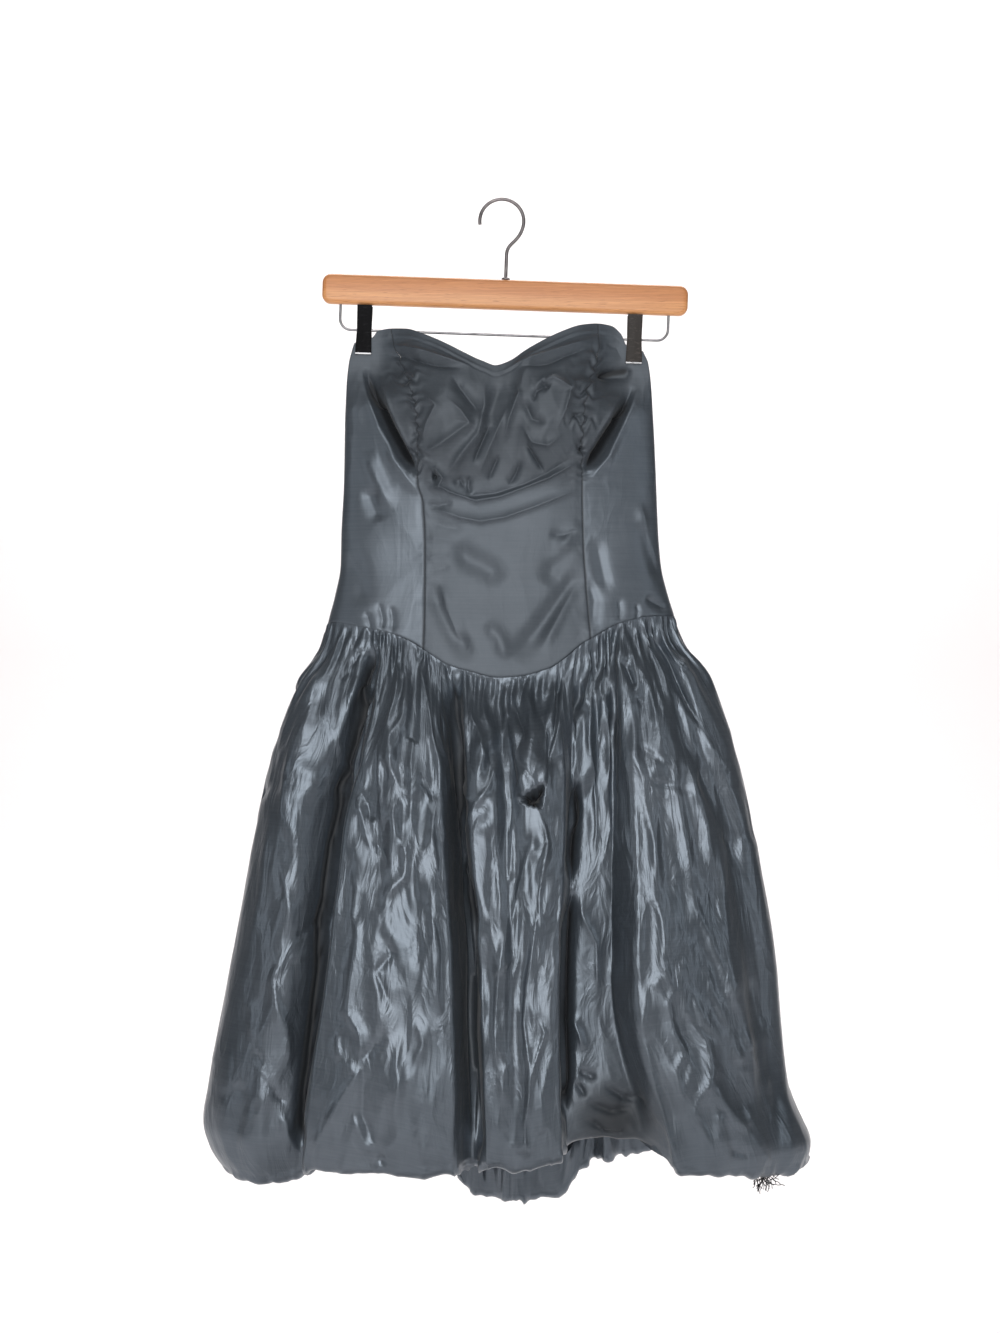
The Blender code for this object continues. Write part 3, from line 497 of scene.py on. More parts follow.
for side, x in CLIP_XS.items():
    black = lacquer(f"clip_lacquer_{side}", CLIP_COLOURS[side], CLIP_GLOSS[side])
    front_leaf, back_leaf = leaf_mesh("leaf", x, -1), leaf_mesh("leaf", x, 1)
    add_piece(f"clip_front_leaf_{side}", front_leaf, black, "dress", "black_metal", f"clip_{side}")
    add_piece(f"clip_back_leaf_{side}", back_leaf, black, "dress", "black_metal")
    for face, way in (("front", -1), ("back", 1)):
        add_piece(f"clip_{face}_lip_{side}", lip_mesh("lip", x, way), bright_wire, "dress", "steel")
    spring = wire_curve("spring", spring_points(x), SPRING_WIRE, fineness=2, capped=False)
    add_piece(f"clip_spring_{side}", spring, bright_wire, "dress", "steel")

# Bodice. Three front pieces and two back halves of slate taffeta, cut to princess seams, with the top edge
# turned in. The seams over the bust are eased in, so the cloth puckers beside them, and long folds run down
# from the clips, as if the skirt's weight pulled them.
FRONT, BACK = -1, 1
SEAM_GAP = 0.3
Section = namedtuple("Section", "z left right front back")
BODICE = [
    Section(-120, -144, 134, 18, 12),
    Section(-136, -147, 138, 22, 14),
    Section(-150, -151, 140, 25, 16),
    Section(-162, -154, 145, 27, 17),
    Section(-185, -156.5, 148, 29, 19),
    Section(-225, -158, 150.5, 31, 21),
    Section(-280, -159, 153, 32, 23),
    Section(-330, -161.5, 155, 34, 25),
    Section(-365, -162.5, 158, 36, 27),
    Section(-395, -168, 165, 38, 29),
    Section(-420, -174.5, 172.5, 41, 32),
    Section(-450, -180, 178, 44, 34),
    Section(-485, -184, 182, 46, 36),
]
SIDE_ROUNDING = 0.8
EdgePoint = namedtuple("EdgePoint", "x z")


def edge(*places):
    return [EdgePoint(x, z) for x, z in places]


NECKLINE = edge(
    (-160, -148), (-147, -143), (-131, -138), (-125, -131), (-113, -129), (-98, -130), (-78, -137),
    (-52, -149), (-20, -165), (-8, -169.5), (3, -166), (30, -149), (56, -135), (78, -127), (96, -124.5),
    (108, -126), (118, -134), (124, -146), (142, -152), (155, -160),
)  # fmt: skip
BACK_TOP = edge(
    (-160, -150), (-147, -142), (-128, -144), (-95, -160), (-50, -173), (-3, -178), (45, -174), (90, -163),
    (120, -152), (139, -154), (155, -161),
)  # fmt: skip
FRONT_WAIST = edge(
    (-190, -420.5), (-172, -421.3), (-137, -427), (-113, -432), (-91, -441), (-72, -453), (-54, -464),
    (-36, -469.5), (-4, -476.5), (14, -475.5), (46, -467), (60, -458), (78, -443), (92, -435), (112, -424),
    (127, -419.5), (143, -416), (170, -415), (190, -415),
)  # fmt: skip
BACK_WAIST = edge(
    (-190, -420.5), (-172, -421.3), (-90, -427), (-3, -431), (85, -424), (170, -415), (190, -415),
)  # fmt: skip
LEFT_PRINCESS = edge(
    (-112, -125), (-106, -153), (-99, -172), (-90, -196), (-85, -224), (-85, -254), (-84, -284), (-79, -304),
    (-77, -345), (-77, -400), (-78, -440), (-80, -470),
)  # fmt: skip
RIGHT_PRINCESS = edge(
    (95, -120), (95, -150), (90, -173), (83, -196), (79, -226), (78, -255), (78, -290), (79, -345), (83, -400),
    (86, -440), (87, -470),
)  # fmt: skip
Cup = namedtuple("Cup", "x z wide high proud")
CUPS = [Cup(-58, -214, 45, 58, 25), Cup(49, -212, 44, 58, 24)]
Pinch = namedtuple("Pinch", "x bottom")
PINCHES = [Pinch(-139, -163), Pinch(131, -172)]
PINCH_HALF_WIDTH, PINCH_FADE, PINCHED_OUT = 12, 46, 3.65
BACK_CENTRE, ZIP_WIDTH, ZIP_STITCHES = -3, 5.4, 6


def clamp(value, low=0.0, high=1.0):
    return np.clip(value, low, high)


def smooth(value):
    value = clamp(value)
    return value * value * (3 - 2 * value)


def curve_through(places, values, at):
    """A smooth curve through values at rising places, held level past both ends."""
    places, values = np.asarray(places, float), np.asarray(values, float)
    steps = np.diff(values) / np.diff(places)
    slopes = np.zeros(len(places))
    for k in range(1, len(places) - 1):
        if steps[k - 1] * steps[k] > 0:
            slopes[k] = 2 * steps[k - 1] * steps[k] / (steps[k - 1] + steps[k])
    at = clamp(at, places[0], places[-1])
    i = clamp(np.searchsorted(places, at, side="right") - 1, 0, len(places) - 2)
    span = places[i + 1] - places[i]
    t = (at - places[i]) / span
    start, end, rise = slopes[i] * span, slopes[i + 1] * span, values[i + 1] - values[i]
    return values[i] + t * (start + t * (3 * rise - 2 * start - end + t * (start + end - 2 * rise)))


def edge_height(places, x):
    return curve_through([p.x for p in places], [p.z for p in places], x)


def down_table(heights, values, z):
    return curve_through([-h for h in heights], values, -np.asarray(z, float))


def seam_place(seam, z):
    return down_table([p.z for p in seam], [p.x for p in seam], z)


def section_at(table, z):
    heights = [row.z for row in table]
    return Section(z, *(down_table(heights, [row[k] for row in table], z) for k in range(1, 5)))


def angle_of(section, x):
    middle, half = (section.left + section.right) / 2, (section.right - section.left) / 2
    return np.arcsin(clamp((x - middle) / half, -1, 1))


def section_point(section, angle, side):
    """The points of a section, and the directions straight out of it."""
    middle, half = (section.left + section.right) / 2, (section.right - section.left) / 2
    deep = section.front if side == FRONT else section.back
    across = np.maximum(np.cos(angle), 0.0)
    x = middle + half * np.sin(angle)
    y = side * deep * across**SIDE_ROUNDING
    out = np.stack([np.sin(angle) * deep, side * across * half, np.zeros_like(x)], axis=-1)
    out /= np.linalg.norm(out, axis=-1, keepdims=True)
    return np.stack([x, y, section.z + np.zeros_like(x)], axis=-1), out


# Creases run down or across the cloth through a few places, each with its height, which is negative for a
# trough, and how far it spreads to each side.
Crease = namedtuple("Crease", "places height left_spread right_spread")
CREASE_TAPER = 30


def crease_relief(creases, x, z):
    """The relief that creases through (x, z) places give: a narrow one is sharp, and a broad one is soft."""
    relief = np.zeros(np.shape(x))
    for crease in creases:
        line = np.array(crease.places, float)
        reach = 6 * max(crease.left_spread, crease.right_spread)
        near = (x > line[:, 0].min() - reach) & (x < line[:, 0].max() + reach)
        near &= (z > line[:, 1].min() - reach) & (z < line[:, 1].max() + reach)
        if not near.any():
            continue
        px, pz = x[near], z[near]
        nearest, side, along = np.full(px.shape, 1e9), np.zeros(px.shape), np.zeros(px.shape)
        lengths = np.linalg.norm(np.diff(line, axis=0), axis=1)
        total, done = lengths.sum(), 0.0
        for (x0, z0), (x1, z1), length in zip(line[:-1], line[1:], lengths):
            dx, dz = (x1 - x0) / length, (z1 - z0) / length
            t = clamp((px - x0) * dx + (pz - z0) * dz, 0, length)
            away_x, away_z = px - x0 - dx * t, pz - z0 - dz * t
            away = np.hypot(away_x, away_z)
            closer = away < nearest
            nearest = np.where(closer, away, nearest)
            side = np.where(closer, away_z * dx - away_x * dz, side)
            along = np.where(closer, done + t, along)
            done += length
        spread = np.where(side < 0, crease.left_spread, crease.right_spread)
        taper_length = min(0.3 * total, CREASE_TAPER)
        taper = smooth(along / taper_length) * smooth((total - along) / taper_length)
        sharp, soft = np.exp(-nearest / spread), np.exp(-((nearest / (1.25 * spread)) ** 2))
        relief[near] += crease.height * taper * (sharp + (soft - sharp) * smooth((spread - 3) / 3))
    return relief


SHARPNESS = 42


def crumple(s, t, wide, tall, seed, tilt=0.5):
    """Facets as in crushed taffeta: shallow bowls that meet in sharp, wandering ridges, 0 to about 1 high."""
    random = np.random.default_rng(seed)
    shift_u, shift_v, lift, lean_u, lean_v = random.random((5, 128, 128))
    u, v = s / wide, t / tall
    cell_u, cell_v = np.floor(u).astype(int), np.floor(v).astype(int)
    total = np.zeros(np.shape(u))
    for step_u in (-1, 0, 1):
        for step_v in (-1, 0, 1):
            i, j = (cell_u + step_u) % 128, (cell_v + step_v) % 128
            du = u - (cell_u + step_u + 0.1 + 0.8 * shift_u[i, j])
            dv = v - (cell_v + step_v + 0.1 + 0.8 * shift_v[i, j])
            bowl = 0.6 * (du * du + dv * dv) + 0.4 * lift[i, j]
            bowl += tilt * ((lean_u[i, j] - 0.5) * du + (lean_v[i, j] - 0.5) * dv)
            total += np.exp(-SHARPNESS * bowl)
    return -np.log(np.maximum(total, 1e-14)) / SHARPNESS


def wander(s, t, size, seed):
    """A smooth, slow drift from -1 to 1."""
    random = np.random.default_rng(seed)
    grid = random.random((64, 64)) * 2 - 1
    u, v = s / size, t / size
    i, j = np.floor(u).astype(int), np.floor(v).astype(int)
    a, b = smooth(u - i), smooth(v - j)
    i, j, next_i, next_j = i % 64, j % 64, (i + 1) % 64, (j + 1) % 64
    near = grid[i, j] * (1 - a) + grid[next_i, j] * a
    far = grid[i, next_j] * (1 - a) + grid[next_i, next_j] * a
    return near * (1 - b) + far * b


def face_normals(points, side):
    """Outward directions of a grid of points, rows down and columns to the right."""
    across = np.gradient(points, axis=1)
    down = np.gradient(points, axis=0)
    normals = np.cross(down, across) * -side
    return normals / np.maximum(np.linalg.norm(normals, axis=-1, keepdims=True), 1e-9)


def cloth_mesh(name, points, cut_u, cut_v, side, painted_darkness):
    """A sheet of cloth from a grid of points. Its UV map is its cut, in metres, and painted_shade holds how dark
    each point is painted, from 0 to 1."""
    rows, columns = points.shape[:2]
    index = np.arange(rows * columns).reshape(rows, columns)
    a, b, c, d = index[:-1, :-1], index[1:, :-1], index[1:, 1:], index[:-1, 1:]
    quads = np.stack([a, b, c, d] if side == FRONT else [a, d, c, b], axis=-1).reshape(-1, 4)
    mesh = bpy.data.meshes.new(name)
    mesh.vertices.add(rows * columns)
    mesh.vertices.foreach_set("co", (points * MM).astype(np.float32).ravel())
    mesh.loops.add(quads.size)
    mesh.loops.foreach_set("vertex_index", quads.ravel().astype(np.int32))
    mesh.polygons.add(len(quads))
    mesh.polygons.foreach_set("loop_start", np.arange(0, quads.size, 4, dtype=np.int32))
    cut = np.stack([np.broadcast_to(cut, (rows, columns)) for cut in (cut_u, cut_v)], axis=-1)
    mesh.uv_layers.new(name="cut").data.foreach_set(
        "uv", (cut.reshape(-1, 2)[quads.ravel()] * MM).astype(np.float32).ravel()
    )
    shade_layer = mesh.attributes.new("painted_shade", "FLOAT", "POINT")
    shade_layer.data.foreach_set("value", np.broadcast_to(painted_darkness, (rows, columns)).astype(np.float32).ravel())
    mesh.update(calc_edges=True)
    mesh.validate()
    mesh.shade_smooth()
    return mesh


TAFFETA_DARK = (0.098, 0.118, 0.140)
TAFFETA_LIGHT = (0.140, 0.162, 0.188)
FOLD_SHADE = (0.010, 0.012, 0.015)
WRINKLE_HEIGHT = 0.006


def taffeta(name, metallic, roughness, wrinkling):
    """Slate taffeta: crisp, closely woven, with slubs along the weft and fine wrinkles that catch the light.
    The shade in its folds, along its seams, over the cups and the middle panel, where the clips hold it and in
    the skirt's recess is painted, by a value stored on each mesh's points."""
    finish = Finish(name, sheen_weight=0.1, sheen_roughness=0.35)
    warp = finish.noise(finish.place("UV", (2600, 120, 1)), 1, detail=1)
    weft = finish.noise(finish.place("UV", (90, 2400, 1)), 1, detail=1)
    slubs = finish.noise(finish.place("UV", (22, 520, 1)), 1, detail=4, roughness=0.62)
    clouds = finish.noise(finish.place("UV", (14, 9, 1)), 1, detail=4, roughness=0.6)
    rumple = finish.noise(finish.place("UV", (62, 20, 1)), 1, detail=3, roughness=0.5, distortion=0.8)
    ridges = finish.node("ShaderNodeMath", {"operation": "ABSOLUTE"}, [rumple - 0.5])
    # Painted shade: where a point's stored value is high, the cloth is painted near-black, loses its metal and
    # grows rougher.
    shade_painted_in = finish.node("ShaderNodeAttribute", {"attribute_name": "painted_shade"}, output=2)
    shade = finish.ramp(clouds * 0.6 + slubs * 0.4, (0.34, TAFFETA_DARK), (0.66, TAFFETA_LIGHT))
    threads = finish.bump(warp * 0.3 + weft * 0.7 + slubs * 0.8, 0.00012, 0.3)
    return finish.show(
        base_color=finish.blend(shade_painted_in, shade, (*FOLD_SHADE, 1)),
        metallic=metallic - shade_painted_in * metallic,
        roughness=roughness + slubs * 0.08 + (clouds - 0.5) * 0.08 + shade_painted_in * 0.3,
        normal=finish.bump(1 - ridges, WRINKLE_HEIGHT, wrinkling, under=threads),
    )


bodice_taffeta = taffeta("bodice_taffeta", 0.66, 0.38, 0.08)

# The creases in front follow the photo: their places were read one by one and turned into millimetres.
DRAG_FOLDS = [
    Crease([(-138, -163), (-129, -193), (-114, -229), (-99, -258), (-83, -280)], -13, 4, 4),
    Crease([(-143, -162), (-135, -196), (-123, -227), (-104, -260), (-86, -284)], 2.4, 4, 3),
    Crease([(-125, -168), (-112, -210), (-99, -239), (-86, -265)], 2.2, 3, 3),
    Crease([(130, -184), (114, -222), (97, -251), (78, -279)], -13, 4, 4),
    Crease([(136, -184), (122, -220), (104, -258), (83, -284)], 2.4, 3, 4),
    Crease([(122, -191), (104, -220), (87, -248)], 2.0, 3, 3),
    Crease([(93, -178), (111, -172), (131, -169)], -9, 4, 4),
    Crease([(102, -143), (114, -148), (120, -162)], -4, 3, 3),
    Crease([(-135, -248), (-131, -267), (-121, -291), (-110, -313)], 1.6, 4, 6),
    Crease([(-117, -243), (-106, -262), (-92, -282), (-81, -298)], 2.0, 5, 4),
    Crease([(-135, -286), (-129, -305), (-121, -324)], -1.8, 6, 6),
    Crease([(-156, -348), (-142, -382), (-135, -408)], -1.2, 9, 8),
    Crease([(-136, -410), (-132, -422), (-131, -432)], -1.3, 3, 3),
    Crease([(-123, -401), (-119, -418), (-120, -432)], -1.4, 3, 3),
    Crease([(-111, -403), (-109, -420), (-110, -435)], -1.4, 3, 3),
    Crease([(91, -334), (97, -365), (104, -396)], -1.5, 6, 5),
    Crease([(83, -375), (90, -401), (87, -432)], -1.4, 5, 5),
    Crease([(134, -296), (145, -336), (158, -375)], 1.6, 6, 4),
    Crease([(137, -317), (147, -353), (160, -384)], -2.0, 5, 5),
    Crease([(140, -397), (152, -402), (166, -409)], -2.2, 4, 4),
    Crease([(114, -396), (116, -410), (115, -422)], -1.3, 3, 3),
    Crease([(131, -400), (134, -410), (132, -421)], -1.3, 3, 3),
]
BUST_FOLDS = [
    Crease([(-126, -150), (-99, -159), (-70, -167), (-37, -172)], -3.6, 3, 4),
    Crease([(-120, -143), (-92, -150), (-58, -162), (-25, -171)], 2.6, 3, 3),
    Crease([(-113, -155), (-101, -172), (-93, -193)], -2.2, 4, 3),
    Crease([(1, -172), (35, -160), (68, -148), (92, -138)], 2.6, 3, 3),
    Crease([(11, -172), (44, -166), (73, -154), (89, -148)], -2.8, 3, 3),
    Crease([(-51, -179), (-39, -193), (-26, -210), (-20, -224)], -3.4, 5, 4),
    Crease([(-82, -193), (-65, -210), (-74, -227), (-80, -248)], 2.6, 3, 4),
    Crease([(-58, -200), (-42, -215), (-34, -227), (-53, -241), (-75, -255), (-81, -267)], 3.0, 4, 4),
    Crease([(-18, -184), (-19, -210), (-26, -236), (-44, -258), (-58, -282)], 3.0, 3, 5),
    Crease([(-12, -227), (-21, -248), (-30, -268)], -3.6, 2, 2),
    Crease([(7, -205), (-3, -227), (-14, -251), (-25, -279)], 2.4, 4, 4),
    Crease([(-3, -186), (-8, -205), (-18, -229)], -2.2, 5, 5),
    Crease([(10, -183), (17, -198), (7, -222), (0, -248)], 3.0, 4, 3),
    Crease([(18, -203), (28, -224), (44, -229)], -3.0, 4, 4),
    Crease([(30, -200), (35, -188), (49, -183), (66, -193), (60, -215), (52, -236)], 3.0, 3, 4),
    Crease([(37, -186), (46, -193)], -3.0, 3, 3),
    Crease([(28, -208), (32, -196), (46, -187)], -2.4, 2, 2),
    Crease([(21, -245), (30, -260), (41, -276)], -3.8, 2, 2),
    Crease([(17, -227), (29, -245), (44, -248), (60, -237)], 2.6, 3, 3),
    Crease([(66, -196), (69, -186), (84, -184)], 2.2, 3, 2),
    Crease([(-3, -256), (-9, -270), (-15, -283)], -2.6, 3, 2),
    Crease([(18, -262), (12, -277), (5, -288)], -2.8, 3, 3),
    Crease([(-33, -277), (-34, -289), (-32, -297)], -2.6, 3, 3),
    Crease([(-50, -286), (-42, -282), (-37, -291)], -2.4, 3, 3),
    Crease([(71, -251), (77, -248), (78, -258)], -3.6, 3, 3),
    Crease([(68, -222), (78, -217), (87, -220)], -2.6, 2, 3),
    Crease([(-89, -224), (-87, -239), (-81, -248)], -3.6, 3, 3),
    Crease([(-96, -248), (-88, -258), (-83, -267)], -3.0, 3, 3),
    Crease([(-80, -282), (-63, -287), (-51, -294), (-27, -302), (-3, -298), (21, -289), (44, -280),
            (78, -261)], 2.8, 2, 3),
    Crease([(-58, -290), (-37, -298), (-8, -295), (21, -286), (44, -275), (75, -255)], -1.8, 4, 3),
    Crease([(-77, -311), (-58, -313), (-42, -319), (-22, -323), (1, -319), (32, -308), (54, -299),
            (77, -290)], 2.0, 2, 4),
    Crease([(-76, -305), (-63, -307), (-48, -303)], -1.4, 4, 3),
    Crease([(-77, -272), (-65, -271), (-59, -279), (-63, -288), (-75, -290)], 3.6, 3, 3),
    Crease([(-70, -279), (-64, -279)], -6, 2, 2),
    Crease([(-50, -342), (-34, -360), (-13, -371), (4, -384)], -2.3, 8, 10),
    Crease([(-75, -379), (-65, -396), (-51, -422), (-37, -449), (-27, -463)], -2.5, 9, 6),
    Crease([(-62, -382), (-56, -408), (-40, -445)], 2.0, 4, 5),
    Crease([(78, -365), (59, -398), (32, -432), (9, -461)], -2.5, 8, 9),
    Crease([(77, -377), (59, -408), (36, -451)], 1.8, 5, 5),
    Crease([(60, -341), (47, -375), (40, -387)], -1.7, 8, 8),
    Crease([(77, -320), (61, -344), (44, -367)], 1.5, 6, 6),
    Crease([(-76, -358), (-52, -356)], 0.4, 3, 3),
    Crease([(-76, -322), (-53, -329), (-36, -331)], -0.7, 4, 5),
    Crease([(-75, -338), (-46, -341)], 0.5, 4, 4),
    Crease([(-75, -372), (-50, -366)], -0.5, 4, 4),
    Crease([(76, -330), (59, -336), (44, -335)], -1.4, 4, 4),
    Crease([(-18, -420), (-3, -439), (5, -461)], 1.4, 6, 6),
]
BODICE_CREASES = DRAG_FOLDS + BUST_FOLDS
LEFT_FOLD, RIGHT_FOLD = edge(*DRAG_FOLDS[0].places), edge(*DRAG_FOLDS[3].places)
BODICE_FOLDS = 1.7
# Painted shade, as deep as the photo shows it. The middle panel is painted darker than the sides, and so
# are the cups and what the clips press together.
FOLD_DARKNESS, SEAM_DARKNESS = 0.95, 0.8
PANEL_PAINTED_SHADE, CUP_SHADE, CLIP_SHADE = 0.25, 0.42, 0.35
# The back doesn't show, and its creases are made up.
BACK_FOLDS = [
    Crease([(-136, -172), (-120, -214), (-97, -262), (-72, -302)], -3.0, 6, 5),
    Crease([(-126, -170), (-106, -208), (-84, -246)], 2.0, 4, 5),
    Crease([(130, -180), (115, -220), (93, -264), (64, -308)], -2.8, 6, 6),
    Crease([(120, -172), (101, -210), (82, -240), (58, -268)], 1.9, 5, 4),
    Crease([(-152, -304), (-112, -315), (-62, -309), (-9, -318)], 1.6, 4, 6),
    Crease([(4, -300), (48, -294), (98, -305), (144, -297)], 1.5, 5, 5),
    Crease([(-148, -338), (-118, -345), (-90, -341)], -1.5, 5, 5),
    Crease([(-9, -352), (-34, -344), (-66, -350), (-92, -364)], -1.3, 6, 5),
    Crease([(6, -338), (40, -348), (82, -342), (120, -350)], -1.6, 5, 6),
    Crease([(-138, -420), (-126, -392), (-104, -362)], -1.8, 6, 5),
    Crease([(-96, -424), (-90, -402), (-92, -380)], 1.4, 4, 4),
    Crease([(-44, -428), (-52, -402), (-46, -378)], -1.4, 5, 4),
    Crease([(34, -426), (46, -398), (72, -370)], -1.7, 5, 6),
    Crease([(84, -422), (80, -400), (88, -382)], 1.3, 4, 4),
    Crease([(132, -416), (122, -394), (104, -376)], -1.6, 4, 6),
    Crease([(-12, -206), (-30, -228), (-34, -258)], -1.4, 5, 5),
    Crease([(8, -214), (24, -238), (22, -270)], 1.3, 5, 5),
]


def shirring(distance, z, seed):
    """Puckers beside an eased seam, deepest over the bust."""
    strength = 0.12 + 2.4 * smooth((-128 - z) / 20) * smooth((z + 292) / 34)
    quick, slow = wander(distance * 2, z, 15, seed), wander(distance, z, 34, seed + 1)
    ripple = np.sin(-z / 2.1 + 3.4 * quick + 3 * slow)
    reach = np.exp(-distance / (7 + 5.5 * wander(distance * 0, z, 16, seed + 2)))
    return strength * reach * ripple


def bodice_form(x, z, angle, side):
    section = section_at(BODICE, z)
    point, out = section_point(section, angle, side)
    if side == FRONT:
        for cup in CUPS:
            reach = ((x - cup.x) / cup.wide) ** 2 + ((z - cup.z) / cup.high) ** 2
            point[..., 1] -= cup.proud * np.exp(-reach) * np.cos(angle)
    held = np.zeros(np.shape(x))
    for pinch in PINCHES:
        across = np.maximum(np.abs(x - pinch.x) - PINCH_HALF_WIDTH, 0)
        below = np.maximum(pinch.bottom - z, 0)
        held = np.maximum(held, 1 - smooth(np.hypot(across, below) / PINCH_FADE))
    flat = side * PINCHED_OUT * np.maximum(np.cos(angle), 0.0) ** 0.12
    point[..., 1] += (flat - point[..., 1]) * held
    return point, held


def seam_x(seam, z, section):
    if isinstance(seam, str):
        return section.left if seam == "LEFT" else section.right
    if isinstance(seam, (int, float)):
        return np.full(np.shape(z), float(seam))
    return seam_place(seam, z)


# How high the bodice's small forms stand, and how far the grooves beside its seams reach.
SOFT_WAVES, SOFT_ON_BUST, SOFT_ON_CUPS, DRIFT_WAVES, FACETS_ON_BUST = 0.9, 0.8, 3.0, 0.8, 1.3
SEAM_GROOVE, SEAM_GROOVE_WIDE, SEAM_SHADE_WIDE, SEAM_QUIET = 0.7, 0.6, 1.1, 9
STITCH_GROOVE, STITCH_GROOVE_WIDE, WAIST_GROOVE = 0.5, 0.8, 0.9
TURN_ROWS, TURN_ROLL_ROWS, TURN_PITCH, TURN_RADIUS = 9, 4, 2.4, 0.75
EDGE_TRIES, SEARCH_START = 6, -300
EDGE_RELIEF, RIDGE_DOWN, RIDGE_WIDE, STITCH_DOWN, STITCH_WIDE = 0.5, 7, 1.6, 10, 1.2
BUST_TOP, BUST_TOP_FADE, BUST_LOW, BUST_LOW_FADE = -140, 25, -300, 30


def keep_to_side(points, side):
    """Stops a front or a back at the plane of the side seams."""
    points[..., 1] = side * np.maximum(side * points[..., 1], 0)


def bodice_relief(panel, x, z, bust):
    """Waves all over, facets over the bust, puckers and a groove along each seam, and the seams' shade."""
    s, t, seed = x - BACK_CENTRE, -z, panel.seed
    drift = wander(s, t, 45, seed)
    soft = crumple(s + 9 * drift, t + 7 * wander(s, t, 30, seed + 3), 24, 46, seed + 4, 0.9) - 0.3
    fine = crumple(s + 5 * drift, t + 4 * wander(s, t, 20, seed + 6), 11, 23, seed + 7, 1.3) - 0.3
    on_cups = SOFT_ON_CUPS if panel.node == "centre_front" else 0.0
    relief = soft * (SOFT_WAVES + (on_cups + SOFT_ON_BUST) * bust)
    relief += DRIFT_WAVES * drift + FACETS_ON_BUST * fine * bust
    seam_relief, seam_shade = np.zeros(x.shape), np.zeros(x.shape)
    for seam, edge_x in ((panel.left, x[:, :1]), (panel.right, x[:, -1:])):
        if isinstance(seam, str):
            continue
        distance = np.abs(x - edge_x)
        relief *= smooth(distance / SEAM_QUIET)
        if panel.side == FRONT:
            seam_relief += shirring(distance, z, 311 if seam is LEFT_PRINCESS else 331)
        else:
            seam_relief -= STITCH_GROOVE * np.exp(-(((distance - ZIP_STITCHES) / STITCH_GROOVE_WIDE) ** 2))
        seam_relief -= SEAM_GROOVE * np.exp(-distance / SEAM_GROOVE_WIDE)
        seam_shade = np.maximum(seam_shade, np.exp(-distance / SEAM_SHADE_WIDE))
    return relief + seam_relief, seam_shade


def bodice_shade(panel, x, z, bust, lines, seam_shade, held):
    """How dark each point is painted."""
    # Painted shade: the middle panel is painted darker all over, and the cups darker still.
    grain_and_painted_panel_shade = PANEL_PAINTED_SHADE if panel.node == "centre_front" else 0.0
    in_cups = bust * smooth((x - seam_place(LEFT_FOLD, z)) / 6) * smooth((seam_place(RIGHT_FOLD, z) - x) / 6)
    return np.maximum.reduce([
        FOLD_DARKNESS * smooth(-(lines + 2.0) / 5), SEAM_DARKNESS * seam_shade,
        grain_and_painted_panel_shade + (CUP_SHADE - grain_and_painted_panel_shade) * in_cups, CLIP_SHADE * held,
    ])  # fmt: skip


def turned_in(points, side):
    """The rows of the top edge that roll over and run down inside, from the lowest."""
    inward = face_normals(points, side)[:1].copy()
    inward[..., 2] = 0
    facing = []
    for row in range(TURN_ROWS, 0, -1):
        fall = max(row - TURN_ROLL_ROWS, 0) * TURN_PITCH
        roll = math.radians(180 * min(row, TURN_ROLL_ROWS) / TURN_ROLL_ROWS)
        spot = points[:1] - inward * TURN_RADIUS * (1 - math.cos(roll))
        spot = spot + np.array([0, 0, TURN_RADIUS * math.sin(roll) - fall])
        keep_to_side(spot, side)
        facing.append(spot)
    return facing


def bodice_sheet(panel):
    """The grid of one bodice piece: from its turned-in top edge down to the waist seam, seam to seam."""
    u = np.linspace(0, 1, panel.columns + 1)[None, :]

    def place(z):
        section = section_at(BODICE, z)
        start, end = (angle_of(section, seam_x(seam, z, section)) for seam in (panel.left, panel.right))
        angle = start + (end - start) * u
        x = (section.left + section.right) / 2 + (section.right - section.left) / 2 * np.sin(angle)
        if panel.left != "LEFT":
            x = x + SEAM_GAP / 2 * (1 - u)
        if panel.right != "RIGHT":
            x = x - SEAM_GAP / 2 * u
        return x, angle

    high = low = place(np.full_like(u, SEARCH_START))[0]
    for _ in range(EDGE_TRIES):
        high = place(edge_height(panel.top, high))[0]
        low = place(edge_height(panel.bottom, low))[0]
    top, bottom = edge_height(panel.top, high), edge_height(panel.bottom, low)
    v = np.linspace(0, 1, panel.rows + 1)[:, None]
    z = top * (1 - v) + bottom * v
    x, angle = place(z)
    points, held = bodice_form(x, z, angle, panel.side)
    normals = face_normals(points, panel.side)
    bust = smooth((BUST_TOP - z) / BUST_TOP_FADE) * smooth((z - BUST_LOW) / BUST_LOW_FADE)
    bust *= float(panel.side == FRONT)
    lines = crease_relief(panel.creases, x, z)
    relief, seam_shade = bodice_relief(panel, x, z, bust)
    relief += lines * BODICE_FOLDS - WAIST_GROOVE * np.exp(-(z - bottom) / WAIST_GROOVE)
    relief += EDGE_RELIEF * np.exp(-(((top - z - RIDGE_DOWN) / RIDGE_WIDE) ** 2))
    relief -= EDGE_RELIEF * np.exp(-(((top - z - STITCH_DOWN) / STITCH_WIDE) ** 2))
    quiet = 1 - 0.85 * held * smooth((z - (PINCHES[0].bottom - 20)) / 20)
    at_side = smooth(np.cos(angle) / 0.22)
    points = points + normals * (relief * quiet * (0.15 + 0.85 * at_side))[..., None]
    keep_to_side(points, panel.side)
    grid = np.concatenate(turned_in(points, panel.side) + [points])
    cut_v = np.concatenate([-z[:1] - TURN_PITCH * k for k in range(TURN_ROWS, 0, -1)] + [-z])
    shade = bodice_shade(panel, x, z, bust, lines, seam_shade, held)
    painted_darkness = np.concatenate([np.zeros((TURN_ROWS, panel.columns + 1)), shade])
    cut_u = (x - BACK_CENTRE)[len(x) // 2][None, :]
    return cloth_mesh(panel.piece, grid, cut_u, cut_v, panel.side, painted_darkness)


